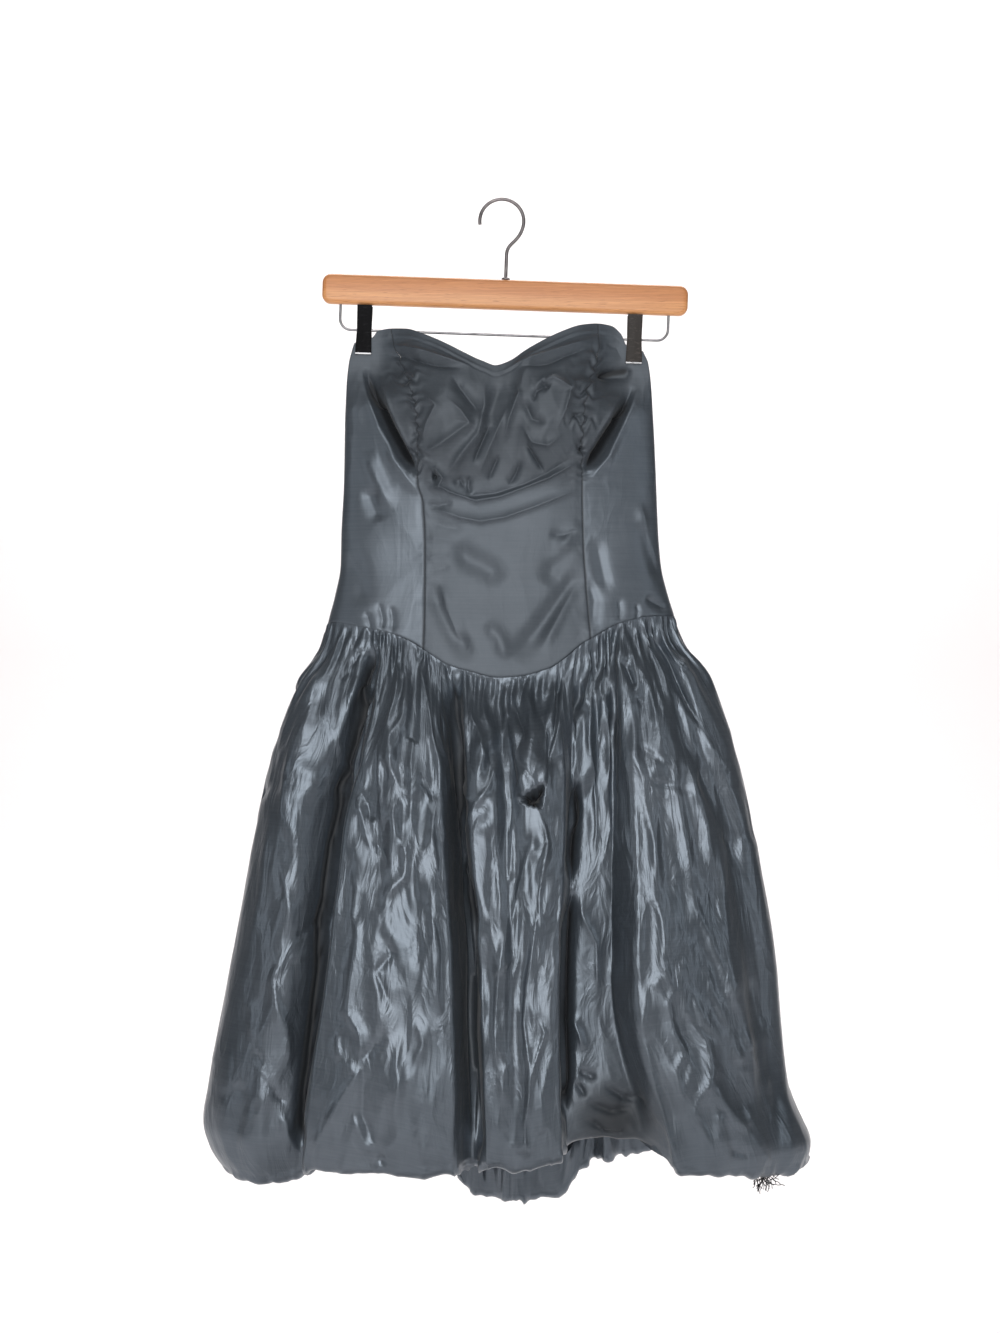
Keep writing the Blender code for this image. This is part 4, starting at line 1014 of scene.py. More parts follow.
Panel = namedtuple("Panel", "piece node side left right top bottom columns rows creases flat seed")
ZIP_LEFT, ZIP_RIGHT = BACK_CENTRE - ZIP_WIDTH / 2, BACK_CENTRE + ZIP_WIDTH / 2
PANELS = [
    Panel("taffeta_centre_front", "centre_front", FRONT, LEFT_PRINCESS, RIGHT_PRINCESS, NECKLINE, FRONT_WAIST,
          190, 330, BODICE_CREASES, (0.2, 0.35), 3),
    Panel("taffeta_side_front_left", "side_front_left", FRONT, "LEFT", LEFT_PRINCESS, NECKLINE, FRONT_WAIST,
          100, 280, BODICE_CREASES, (0.105, 0.31), 17),
    Panel("taffeta_side_front_right", "side_front_right", FRONT, RIGHT_PRINCESS, "RIGHT", NECKLINE,
          FRONT_WAIST, 100, 280, BODICE_CREASES, (0.105, 0.31), 29),
    Panel("taffeta_back_left", "back_left", BACK, "LEFT", ZIP_LEFT, BACK_TOP, BACK_WAIST,
          130, 240, BACK_FOLDS, (0.20, 0.31), 41),
    Panel("taffeta_back_right", "back_right", BACK, ZIP_RIGHT, "RIGHT", BACK_TOP, BACK_WAIST,
          130, 240, BACK_FOLDS, (0.20, 0.31), 53),
]
for panel in PANELS:
    piece = add_piece(panel.piece, bodice_sheet(panel), bodice_taffeta, "dress", "taffeta", panel.node)

# Zip. A nylon coil closes the middle of the back: bent loops sewn to a woven tape on each side mesh down its
# middle, and a painted slider with a hanging pull holds it shut at the top.
ZIP_TOP = edge_height(BACK_TOP, BACK_CENTRE) - 1.5
ZIP_BOTTOM = edge_height(BACK_WAIST, BACK_CENTRE)
LOOP_PITCH, LOOP_OUT, LOOP_IN, LOOP_SUNK = 1.3, 2.1, 0.55, 0.55
LOOP_ROUND = [(0.0, 0.2), (0.12, 0.42), (0.8, 0.4), (0.93, 0.52), (1.0, 0.25)]
TAPE_SUNK = 1.3
SLIDER_SIZE, SLIDER_STAND = Vector((6.2, 3.2, 10)), 0.5
SLIDER_OUTLINE = [
    (-1.6, -5), (1.6, -5), (2.2, -4.4), (2.6, -1), (3.1, 1.2), (3.1, 3.8), (2.2, 5), (0.7, 4.4), (-0.7, 4.4),
    (-2.2, 5), (-3.1, 3.8), (-3.1, 1.2), (-2.6, -1), (-2.2, -4.4),
]  # fmt: skip
SLIDER_BELOW_TOP, LOWER_PLATE, UPPER_PLATE = 9, 1.0, 1.2
POST_RADIUS, POST_TALL, POST_UP = 0.9, 1.6, 3.2
PULL_SIZE, PULL_SHOULDER = Vector((3.4, 1.3, 19)), 6
KNUCKLE, HINGE_UP = 1.5, 2.4
EAR_THICK, EAR_RADIUS, EAR_DEEP, PIN_RADIUS, PIN_THICK = 1.2, 1.6, 3.4, 0.8, 0.5
TAPE_ROWS, TAPE_COLUMNS = 61, 5


def back_face(z):
    """How far back the bodice's face lies at each height of the zip."""
    z = np.asarray(z, float)
    section = section_at(BODICE, z)
    x = np.full(z.shape, float(BACK_CENTRE))
    return bodice_form(x, z, angle_of(section, BACK_CENTRE), BACK)[0][..., 1]


def zip_loops():
    points, faces = [], []
    sides = 8
    for k in range(int((ZIP_TOP - ZIP_BOTTOM) / LOOP_PITCH * 2)):
        way = 1 if k % 2 else -1
        z = ZIP_TOP - (k + 0.5) * LOOP_PITCH / 2
        y = float(back_face(z)) - LOOP_SUNK
        first = len(points)
        for along, radius in LOOP_ROUND:
            x = BACK_CENTRE + way * (LOOP_OUT - (LOOP_OUT + LOOP_IN) * along)
            for turn in range(sides):
                angle = 2 * math.pi * turn / sides
                points.append(Vector((x, y + radius * math.cos(angle), z + radius * math.sin(angle))) * MM)
        for ring in range(len(LOOP_ROUND) - 1):
            for turn in range(sides):
                a, b = first + ring * sides + turn, first + ring * sides + (turn + 1) % sides
                quad = (a, b, b + sides, a + sides)
                faces.append(quad if way > 0 else quad[::-1])
        ends = [tuple(range(first, first + sides)), tuple(range(len(points) - sides, len(points)))]
        faces += [ends[0][::-1], ends[1]] if way > 0 else [ends[0], ends[1][::-1]]
    return smooth_mesh("zip_loops", points, faces, sharp_from=None)


def nylon(name, colour, weave):
    finish = Finish(name)
    dye = finish.noise(finish.place("Object", (1, 1, 1)), 260, detail=3)
    cords = finish.noise(finish.place("Object", (1900, 1900, 240)), 1, detail=1)
    pale = tuple(channel * 1.5 for channel in colour)
    return finish.show(
        base_color=finish.blend(dye, (*colour, 1), (*pale, 1)),
        roughness=0.34 + dye * 0.2 + weave * 0.3,
        normal=finish.bump(cords, 0.00015, 0.15 + weave * 0.6),
    )


def cut_plate(name, outline, thickness, rounding, facing, middle):
    """A small plate stamped to an outline and tumbled smooth. facing is the axis that its flat sides face."""
    drawing = bpy.data.curves.new(name, "CURVE")
    drawing.dimensions = "2D"
    drawing.fill_mode = "BOTH"
    drawing.extrude = (thickness / 2 - rounding) * MM
    drawing.bevel_depth = rounding * MM
    drawing.bevel_resolution = 3
    drawing.offset = -rounding * MM
    line = drawing.splines.new("POLY")
    line.points.add(len(outline) - 1)
    line.use_cyclic_u = True
    for spot, (across, up) in zip(line.points, outline):
        spot.co = (across * MM, up * MM, 0, 1)
    mesh = bpy.data.meshes.new_from_object(bpy.data.objects.new(name, drawing))
    turn = Matrix.Rotation(math.radians(90), 4, "X")
    if facing == "X":
        turn = Matrix.Rotation(math.radians(90), 4, "Z") @ turn
    mesh.transform(Matrix.Translation(middle * MM) @ turn)
    mesh.shade_smooth()
    mesh.set_sharp_from_angle(angle=math.radians(50))
    return mesh


def disc(radius, steps=24):
    turns = [2 * math.pi * k / steps for k in range(steps)]
    return [(radius * math.cos(turn), radius * math.sin(turn)) for turn in turns]


def painted_zip_metal(name):
    finish = Finish(name, coat_weight=0.3, coat_roughness=0.3)
    rubs = finish.noise(finish.place("Object", (1, 1, 1)), 420, detail=5, roughness=0.65)
    bare = finish.mask(rubs, 0.62, 0.72)
    return finish.show(
        base_color=finish.blend(bare, (0.05, 0.058, 0.07, 1), (0.3, 0.3, 0.31, 1)),
        metallic=0.1 + bare * 0.8,
        roughness=0.36 + rubs * 0.16,
        normal=finish.bump(rubs, 0.00006, 0.5),
    )


add_piece("zip_loops", zip_loops(), nylon("zip_nylon", (0.05, 0.06, 0.075), 0.0), "dress", "zip", "zip_coil")
tape_z = np.repeat(np.linspace(ZIP_TOP, ZIP_BOTTOM, TAPE_ROWS)[:, None], TAPE_COLUMNS, axis=1)
tape_across = np.linspace(-0.5, 0.5, TAPE_COLUMNS)[None, :] * (ZIP_WIDTH - SEAM_GAP)
tape_x = np.repeat(BACK_CENTRE + tape_across, TAPE_ROWS, axis=0)
tape_points = np.stack([tape_x, back_face(tape_z) - TAPE_SUNK, tape_z], axis=-1)
tape_mesh = cloth_mesh("zip_tape", tape_points, tape_x, -tape_z, BACK, np.zeros(tape_x.shape))
add_piece("zip_tape", tape_mesh, nylon("zip_tape_weave", (0.036, 0.042, 0.052), 1.0), "dress", "zip")

slider_top = edge_height(BACK_TOP, BACK_CENTRE) - SLIDER_BELOW_TOP
slider_face = float(back_face(slider_top)) + SLIDER_STAND
hinge = Vector((BACK_CENTRE, slider_face + SLIDER_SIZE.y + KNUCKLE + SEAM_GAP, slider_top + HINGE_UP))
satin_paint = painted_zip_metal("satin_zip_paint")
lower_plate = Vector((BACK_CENTRE, slider_face + LOWER_PLATE / 2, slider_top))
upper_plate = Vector((BACK_CENTRE, slider_face + SLIDER_SIZE.y - UPPER_PLATE / 2, slider_top))
post = Vector((BACK_CENTRE, slider_face + SLIDER_SIZE.y / 2, slider_top + POST_UP))
slider_plates = [
    ("lower", SLIDER_OUTLINE, LOWER_PLATE, lower_plate), ("upper", SLIDER_OUTLINE, UPPER_PLATE, upper_plate),
    ("post", disc(POST_RADIUS), POST_TALL, post),
]  # fmt: skip
for part, outline, thickness, middle in slider_plates:
    stands_for = ["zip_slider"] if part == "upper" else []
    plate = cut_plate(f"zip_slider_{part}", outline, thickness, 0.25, "Y", middle)
    add_piece(f"zip_slider_{part}", plate, satin_paint, "dress", "zip_metal", *stands_for)
ear_round = [(EAR_RADIUS * math.sin(a), -EAR_RADIUS * math.cos(a)) for a in np.linspace(0.3, 2.84, 9)]
ear_outline = [(-EAR_DEEP, -EAR_RADIUS), (0, -EAR_RADIUS), *ear_round]
ear_outline += [(0, EAR_RADIUS), (-EAR_DEEP, EAR_RADIUS)]
ear_aside = PULL_SIZE.x / 2 + SEAM_GAP + EAR_THICK / 2
for side, way in (("left", -1), ("right", 1)):
    ear_middle = hinge + Vector((way * ear_aside, 0, 0))
    pin_middle = hinge + Vector((way * (ear_aside + EAR_THICK / 2), 0, 0))
    ear = cut_plate(f"zip_ear_{side}", ear_outline, EAR_THICK, 0.2, "X", ear_middle)
    add_piece(f"zip_ear_{side}", ear, satin_paint, "dress", "zip_metal")
    pin = cut_plate(f"zip_pin_{side}", disc(PIN_RADIUS), PIN_THICK, 0.15, "X", pin_middle)
    add_piece(f"zip_pin_{side}", pin, satin_paint, "dress", "zip_metal")
half_pull = PULL_SIZE.x / 2
pull_round = -PULL_SIZE.z + half_pull
pull_outline = [(-half_pull * 0.8, 0), (half_pull * 0.8, 0)]
pull_outline += [(half_pull, -PULL_SHOULDER), (half_pull, pull_round)]
for k in range(1, 8):
    angle = math.pi * k / 8
    pull_outline.append((half_pull * math.cos(angle), pull_round - half_pull * math.sin(angle)))
pull_outline += [(-half_pull, pull_round), (-half_pull, -PULL_SHOULDER)]
tab = cut_plate("zip_pull_tab", pull_outline, PULL_SIZE.y, 0.25, "Y", hinge)
add_piece("zip_pull_tab", tab, satin_paint, "pull", "zip_metal", "zip_pull")
knuckle = cut_plate("zip_pull_knuckle", disc(KNUCKLE), PULL_SIZE.x, 0.2, "X", hinge)
add_piece("zip_pull_knuckle", knuckle, satin_paint, "pull", "zip_metal")

# Skirt. A front and a back, cut about twice as wide as the waist and gathered on to the pointed waist seam.
# The cloth bubbles out and rolls under at the hem, as if a narrower lining drew it in. It hangs in a few
# deep flutes with crushed taffeta on their crowns.
SKIRT = [
    Section(-410, -172, 170, 40, 31),
    Section(-420, -174.5, 173, 42, 33),
    Section(-439, -183, 181, 48, 39),
    Section(-459, -190, 193, 53, 45),
    Section(-499, -207, 211, 63, 56),
    Section(-539, -221, 224, 73, 66),
    Section(-579, -231, 234, 82, 75),
    Section(-659, -249, 250, 97, 91),
    Section(-739, -262, 264, 109, 104),
    Section(-819, -276, 272, 118, 114),
    Section(-880, -286.5, 280, 124, 121),
    Section(-915, -291, 294, 124, 124),
    Section(-936, -286, 301, 121, 123),
    Section(-955, -275, 296, 115, 121),
    Section(-968, -262, 286, 108, 119),
    Section(-1000, -240, 262, 100, 112),
    Section(-1030, -235, 255, 96, 106),
]
FRONT_HEM = edge(
    (-300, -964), (-238, -970), (-214, -965), (-200, -957), (-180, -950), (-60, -949), (-30, -946), (22, -945),
    (44, -937), (62, -926), (75, -922), (138, -924), (150, -932), (168, -953), (180, -954), (225, -956),
    (275, -962), (310, -960),
)  # fmt: skip
BACK_HEM = edge(
    (-300, -966), (-200, -974), (-90, -980), (-54, -990), (-42, -1012), (-28, -1022), (10, -1024), (50, -1023),
    (66, -1018), (80, -998), (98, -981), (150, -974), (240, -968), (310, -960),
)  # fmt: skip
Hollow = namedtuple("Hollow", "left_edge right_edge depth left_flank right_flank")
FOLD_HEIGHTS = (-450, -620, -780, -950)
FRONT_HOLLOWS = [
    Hollow((-130, -161, -180, -202), (-126, -157, -176, -198), (5, 26, 34, 24), 40, 10),
    Hollow((-53, -44, -35, -32), (-49, -40, -31, -28), (7, 30, 36, 20), 14, 12),
    Hollow((68, 69, 64, 64), (102, 110, 111, 142), (7, 28, 36, 32), 12, 18),
    Hollow((150, 213, 243, 256), (156, 219, 249, 262), (4, 9, 10, 6), 18, 14),
    Hollow((-2, 4, 12, 16), (2, 8, 16, 20), (4, 9, 6, 0), 12, 14),
]
BACK_HOLLOWS = [
    Hollow((-122, -160, -190, -204), (-118, -156, -186, -200), (5, 22, 28, 15), 24, 18),
    Hollow((-56, -76, -84, -62), (-52, -72, -80, -58), (6, 28, 32, 12), 14, 20),
    Hollow((24, 18, 6, 4), (28, 22, 10, 8), (5, 18, 20, 5), 20, 18),
    Hollow((82, 104, 118, 112), (86, 108, 122, 116), (6, 26, 32, 18), 14, 12),
    Hollow((140, 184, 214, 226), (144, 188, 218, 230), (4, 16, 18, 10), 16, 22),
]
Strip = namedtuple("Strip", "seam_x columns crown")
FRONT_STRIPS = [
    Strip(None, 14, 6), Strip(-128, 20, 12), Strip(-51, 22, 9), Strip(69, 10, 0), Strip(106, 18, 7),
]  # fmt: skip
BACK_STRIPS = [
    Strip(None, 11, 6), Strip(-120, 11, 8), Strip(-54, 11, 8), Strip(26, 9, 7), Strip(84, 9, 8),
    Strip(142, 9, 4),
]  # fmt: skip
FRONT_GUIDES = [(-128, -159, -178, -200), (-51, -42, -33, -30), (69, 70, 63, 63), (106, 113, 114, 151)]
BACK_GUIDES = [
    (-120, -158, -188, -202), (-54, -74, -82, -60), (26, 20, 8, 6), (84, 106, 120, 114), (142, 186, 216, 228),
]  # fmt: skip
Gather = namedtuple("Gather", "height merged waver start rise end fade")
GATHERS = [
    Gather(1.5, 1, 1.6 * math.pi, -4, 10, 12, 45),
    Gather(2.1, 2, 4, 0, 30, 60, 90),
    Gather(2.6, 4, 5, 30, 60, 120, 200),
]
CROWDING, SEAM_PUFF, WAIST_GAP = 0.6, 3.0, 0.05
HEM_ROLL, HEM_RISE, HEM_GATHER = 11, 34, 3.2
HEM_PUCKER, HEM_PUCKER_TALL = {FRONT: 0.5, BACK: 1.3}, {FRONT: 16, BACK: 26}
HEM_TURN_ROWS, HEM_ROLL_IN, HEM_SEARCH_DROP, ROW_CROWDING = 26, 6, 500, 1.12

# Crushed stretches of the flutes: the middle line of each, how wide it is and how deep its facets are.
Crush = namedtuple("Crush", "places half_width depth")
FRONT_CRUSHES = [
    Crush([(-196, -470), (-214, -600), (-224, -760), (-232, -900)], 26, 0.8),
    Crush([(-116, -480), (-104, -580), (-92, -700), (-98, -830), (-128, -950)], 38, 1.25),
    Crush([(-64, -500), (-66, -620), (-62, -720)], 16, 0.8),
    Crush([(-24, -490), (-20, -560), (-10, -660), (6, -780), (10, -940)], 17, 0.8),
    Crush([(22, -490), (30, -570), (36, -700), (28, -800), (22, -940)], 16, 0.9),
    Crush([(124, -440), (138, -560), (152, -690), (166, -800), (180, -940)], 30, 1.15),
    Crush([(170, -470), (192, -600), (216, -740), (232, -860), (236, -950)], 24, 1.0),
]
BACK_CRUSHES = [
    Crush([(-190, -480), (-214, -620), (-232, -780), (-240, -940)], 26, 0.9),
    Crush([(-88, -480), (-112, -620), (-134, -780), (-132, -940)], 30, 1.1),
    Crush([(-16, -480), (-24, -620), (-34, -780), (-28, -960)], 28, 1.1),
    Crush([(56, -480), (62, -620), (64, -780), (60, -960)], 24, 1.0),
    Crush([(112, -480), (140, -620), (166, -780), (170, -940)], 26, 1.1),
    Crush([(160, -480), (206, -620), (244, -780), (260, -920)], 18, 0.9),
]
FRONT_CREASES = [
    Crease([(-122, -440), (-130, -474), (-140, -525), (-147, -556), (-156, -587), (-161, -626),
            (-167, -674), (-170, -722)], -15, 5, 2),
    Crease([(-170, -688), (-175, -764), (-184, -831), (-192, -908), (-195, -935)], -15, 6, 2),
    Crease([(-51, -464), (-48, -495), (-45, -541), (-42, -580), (-39, -626), (-35, -674),
            (-32, -722)], -11, 3, 3.5),
    Crease([(-32, -688), (-32, -764), (-30, -822), (-27, -879), (-25, -933)], -9, 3, 4),
    Crease([(77, -476), (74, -501), (71, -542)], -7, 2, 2),
    Crease([(74, -570), (70, -611), (67, -652), (65, -679)], -15, 3, 3),
    Crease([(66, -679), (63, -753), (62, -808), (63, -864), (57, -901)], -15, 3, 3),
    Crease([(-142, -556), (-151, -607), (-159, -665), (-165, -722)], 3.0, 2, 6),
    Crease([(-166, -688), (-170, -745), (-178, -812), (-187, -879), (-192, -927)], 3.2, 2, 7),
    Crease([(-58, -529), (-48, -587), (-41, -636), (-37, -703)], 2.6, 5, 2),
    Crease([(-39, -688), (-35, -764), (-33, -841), (-30, -923)], 2.8, 6, 2),
    Crease([(66, -490), (68, -568), (61, -636), (62, -722)], 2.0, 5, 2),
    Crease([(-138, -466), (-150, -505), (-160, -537), (-156, -550), (-154, -558)], 3.2, 5, 3),
    Crease([(-150, -556), (-158, -572), (-163, -584)], 2.4, 4, 3),
    Crease([(-186, -466), (-192, -517), (-203, -541), (-209, -568), (-213, -607), (-202, -649)], 3.0, 4, 7),
    Crease([(-137, -447), (-143, -456), (-151, -467)], -3.4, 2, 2),
    Crease([(-148, -469), (-160, -478)], -2.2, 2, 2),
    Crease([(-218, -650), (-212, -675), (-208, -701), (-210, -730)], 3.4, 3, 4),
    Crease([(-213, -732), (-211, -746), (-222, -768), (-219, -782), (-215, -798), (-208, -817),
            (-207, -841), (-209, -863)], 3.2, 4, 2),
    Crease([(-224, -862), (-219, -876), (-208, -889)], -3.4, 2, 3),
    Crease([(-212, -888), (-210, -913), (-197, -935)], 2.4, 3, 2),
    Crease([(-204, -729), (-192, -724), (-181, -716), (-173, -705)], -3.2, 2, 2),
    Crease([(-208, -748), (-195, -746), (-179, -740)], 1.6, 3, 3),
    Crease([(-242, -836), (-232, -849)], -3.2, 2, 2),
    Crease([(-244, -701), (-234, -728), (-234, -764), (-236, -798)], 1.8, 6, 7),
    Crease([(-254, -784), (-244, -798), (-245, -813), (-239, -831)], 1.8, 3, 3),
    Crease([(-274, -890), (-262, -876), (-246, -872)], -1.8, 5, 5),
    Crease([(-256, -939), (-245, -911), (-244, -884)], 1.6, 6, 6),
    Crease([(-96, -477), (-98, -513), (-109, -533), (-111, -556), (-97, -585), (-88, -595)], 3.4, 4, 5),
    Crease([(-84, -454), (-72, -499), (-67, -533), (-63, -556), (-61, -589)], 3.2, 4, 3),
    Crease([(-117, -533), (-119, -568), (-116, -607), (-114, -641)], 2.4, 3, 3),
    Crease([(-106, -460), (-103, -474), (-106, -490)], 2.2, 2, 3),
    Crease([(-138, -582), (-130, -599), (-126, -616)], -2.8, 2, 3),
    Crease([(-142, -585), (-135, -607), (-131, -626), (-125, -642)], 2.6, 3, 3),
    Crease([(-128, -626), (-116, -645), (-107, -663)], -2.8, 2, 3),
    Crease([(-88, -587), (-105, -603), (-102, -626), (-92, -645), (-93, -665), (-112, -684),
            (-116, -703)], 2.8, 5, 4),
    Crease([(-65, -595), (-68, -626), (-62, -655), (-63, -674)], 2.6, 4, 2),
    Crease([(-79, -572), (-69, -587), (-64, -597)], -2.2, 2, 2),
    Crease([(-145, -657), (-139, -676), (-143, -703), (-134, -729)], 2.4, 3, 3),
    Crease([(-77, -626), (-88, -655), (-84, -684), (-73, -707)], -2.4, 7, 6),
    Crease([(-136, -694), (-140, -736), (-146, -774), (-148, -793), (-135, -814), (-133, -845),
            (-153, -870), (-171, -904), (-184, -937)], 3.0, 4, 5),
    Crease([(-119, -711), (-106, -738), (-119, -755), (-103, -795)], -2.6, 3, 3),
    Crease([(-110, -795), (-115, -818), (-132, -835), (-133, -860), (-136, -889), (-118, -926)], -3.2, 4, 4),
    Crease([(-95, -804), (-101, -841), (-98, -870), (-107, -898)], 3.0, 4, 3),
    Crease([(-69, -688), (-60, -736), (-62, -774), (-58, -797)], 2.8, 7, 2),
    Crease([(-84, -795), (-76, -822), (-84, -841)], 1.8, 2, 3),
    Crease([(-157, -812), (-155, -841)], 2.4, 3, 3),
    Crease([(-144, -837), (-142, -852)], 2.4, 3, 3),
    Crease([(-153, -871), (-163, -894), (-161, -914), (-165, -935)], 2.4, 3, 3),
    Crease([(-143, -887), (-134, -914), (-122, -931)], 2.6, 4, 3),
    Crease([(-120, -933), (-109, -931)], -5, 3, 3),
    Crease([(-78, -914), (-74, -935)], 1.2, 3, 3),
    Crease([(-62, -915), (-52, -935)], 1.2, 3, 3),
    Crease([(-42, -575), (-33, -589), (-27, -598)], 3.0, 2, 3),
    Crease([(-26, -480), (-32, -513), (-18, -537), (-20, -552), (-25, -570), (-24, -587)], 3.2, 3, 4),
    Crease([(-1, -547), (-16, -584), (-27, -599), (-31, -618), (-30, -655), (-26, -689)], 3.4, 3, 3),
    Crease([(6, -478), (4, -505), (-2, -541)], 2.0, 3, 3),
    Crease([(7, -494), (17, -523), (25, -542)], -3.4, 2, 2),
    Crease([(19, -480), (25, -505), (27, -533), (25, -558), (29, -576)], 3.4, 3, 3),
    Crease([(59, -468), (49, -523), (43, -550)], -4, 2, 2),
    Crease([(64, -470), (51, -523), (41, -568), (39, -587), (36, -603)], 3.2, 2, 5),
    Crease([(26, -560), (16, -580), (12, -593)], 2.6, 2, 3),
    Crease([(12, -597), (9, -626), (4, -689)], 2.4, 2, 4),
    Crease([(31, -616), (21, -655), (7, -722)], 3.2, 3, 6),
    Crease([(35, -603), (43, -633), (35, -684), (37, -724)], 3.2, 3, 3),
    Crease([(-7, -626), (-10, -674), (-8, -722)], -3.0, 9, 8),
    Crease([(54, -645), (46, -684), (42, -722)], 1.8, 5, 5),
    Crease([(-26, -700), (-23, -726), (-26, -755), (-20, -783), (-23, -825)], 2.6, 2, 4),
    Crease([(7, -688), (-2, -745), (-9, -802), (-8, -833), (-3, -854)], 2.8, 3, 4),
    Crease([(21, -688), (17, -742), (5, -778)], 2.2, 3, 3),
    Crease([(35, -688), (30, -726), (25, -764), (20, -802), (25, -841), (24, -870), (19, -894),
            (21, -935)], 3.4, 3, 3),
    Crease([(33, -793), (38, -812), (29, -841), (23, -870)], 2.8, 2, 2),
    Crease([(11, -829), (-3, -852), (1, -879)], 1.6, 4, 4),
    Crease([(-16, -726), (-14, -774), (-17, -822)], -2.6, 7, 7),
    Crease([(56, -717), (46, -774), (42, -822)], 1.8, 6, 6),
    Crease([(11, -925), (19, -914), (26, -927)], 2.4, 4, 4),
    Crease([(91, -462), (87, -496), (85, -537), (89, -570), (90, -619), (86, -656)], 2.8, 3, 3),
    Crease([(96, -491), (97, -521), (94, -550)], 2.2, 2, 2),
    Crease([(107, -479), (109, -514), (108, -552)], -6, 3, 2),
    Crease([(112, -437), (111, -487), (111, -537), (113, -595), (114, -627), (118, -656)], 3.4, 2, 5),
    Crease([(114, -430), (114, -462), (120, -487), (123, -501), (125, -529), (127, -554), (135, -573),
            (136, -595), (144, -632), (148, -660), (151, -679)], 3.4, 4, 5),
    Crease([(135, -430), (126, -455), (140, -484), (149, -514), (152, -534), (153, -559)], 3.2, 4, 4),
    Crease([(132, -449), (145, -471), (156, -507), (153, -527)], 2.4, 3, 3),
    Crease([(115, -458), (121, -472), (128, -488)], -6, 2, 2),
    Crease([(156, -462), (166, -482), (176, -504), (182, -527), (188, -547), (188, -570), (184, -578),
            (191, -599), (195, -619), (198, -640), (206, -669)], 3.2, 4, 4),
    Crease([(166, -535), (167, -578), (171, -608), (175, -632), (180, -660), (186, -677)], 3.0, 3, 3),
    Crease([(140, -423), (155, -444), (167, -464), (176, -487), (189, -512), (199, -531)], -6, 3, 4),
    Crease([(198, -534), (209, -554), (221, -570)], 1.6, 3, 4),
    Crease([(174, -471), (179, -462), (185, -456)], 2.4, 2, 3),
    Crease([(127, -540), (148, -554), (165, -568)], -2.2, 3, 2),
    Crease([(138, -576), (154, -579), (178, -582)], -2.4, 3, 2),
    Crease([(129, -494), (137, -506)], -1.6, 2, 2),
    Crease([(104, -595), (103, -627), (92, -668)], 2.0, 4, 4),
    Crease([(191, -562), (197, -578), (204, -586)], -2.0, 3, 3),
    Crease([(213, -626), (224, -643), (227, -660)], -2.2, 4, 4),
    Crease([(143, -679), (152, -708), (153, -749), (163, -775), (158, -789), (163, -815), (174, -832),
            (166, -849), (170, -875), (170, -900)], 3.4, 4, 4),
    Crease([(162, -782), (166, -804), (176, -828), (173, -853), (169, -875)], -2.6, 2, 2),
    Crease([(175, -731), (170, -767), (174, -793), (194, -825), (200, -853), (196, -864), (185, -882),
            (173, -918)], 3.4, 4, 4),
    Crease([(174, -797), (185, -808), (198, -825)], -2.4, 2, 2),
    Crease([(182, -679), (194, -713), (205, -739), (214, -761), (223, -787), (234, -805)], 3.0, 3, 3),
    Crease([(193, -742), (202, -777), (213, -804), (219, -818)], 2.8, 3, 3),
    Crease([(185, -775), (185, -789), (203, -821)], 2.6, 4, 4),
    Crease([(200, -856), (211, -882), (222, -897), (238, -914)], 3.4, 5, 3),
    Crease([(205, -886), (203, -910), (203, -929)], 2.8, 2, 6),
    Crease([(220, -918), (222, -929), (233, -933), (239, -923)], -3.6, 2, 2),
    Crease([(233, -818), (241, -836)], 2.4, 3, 3),
    Crease([(222, -830), (230, -847)], 2.4, 3, 3),
    Crease([(211, -679), (218, -708), (219, -740), (224, -767), (226, -789)], 2.4, 6, 4),
    Crease([(103, -742), (114, -789), (121, -823), (133, -864), (145, -912)], 3.2, 5, 8),
    Crease([(71, -855), (80, -857), (91, -862)], -6, 3, 3),
    Crease([(68, -866), (74, -869), (80, -879)], -6, 3, 3),
    Crease([(74, -900), (87, -903), (100, -914), (112, -916), (123, -904)], -7, 3, 3),
    Crease([(80, -884), (104, -893), (128, -889)], -8, 3, 3),
    Crease([(96, -868), (116, -880), (138, -884)], -7, 3, 3),
    Crease([(88, -928), (110, -933), (134, -926)], -6, 3, 3),
    Crease([(63, -800), (72, -819), (78, -837)], 3.4, 4, 4),
    Crease([(73, -679), (75, -706), (90, -734), (90, -789)], 2.4, 3, 4),
    Crease([(109, -679), (113, -706), (124, -734), (131, -771)], 2.0, 4, 4),
    Crease([(137, -766), (136, -789), (132, -818)], 2.2, 2, 2),
    Crease([(151, -759), (143, -773)], 1.8, 2, 2),
    Crease([(243, -767), (245, -799), (251, -827)], -2.8, 3, 4),
    Crease([(252, -860), (259, -879), (263, -897)], 1.8, 4, 4),
    Crease([(233, -886), (238, -897), (235, -908)], 2.6, 4, 3),
]
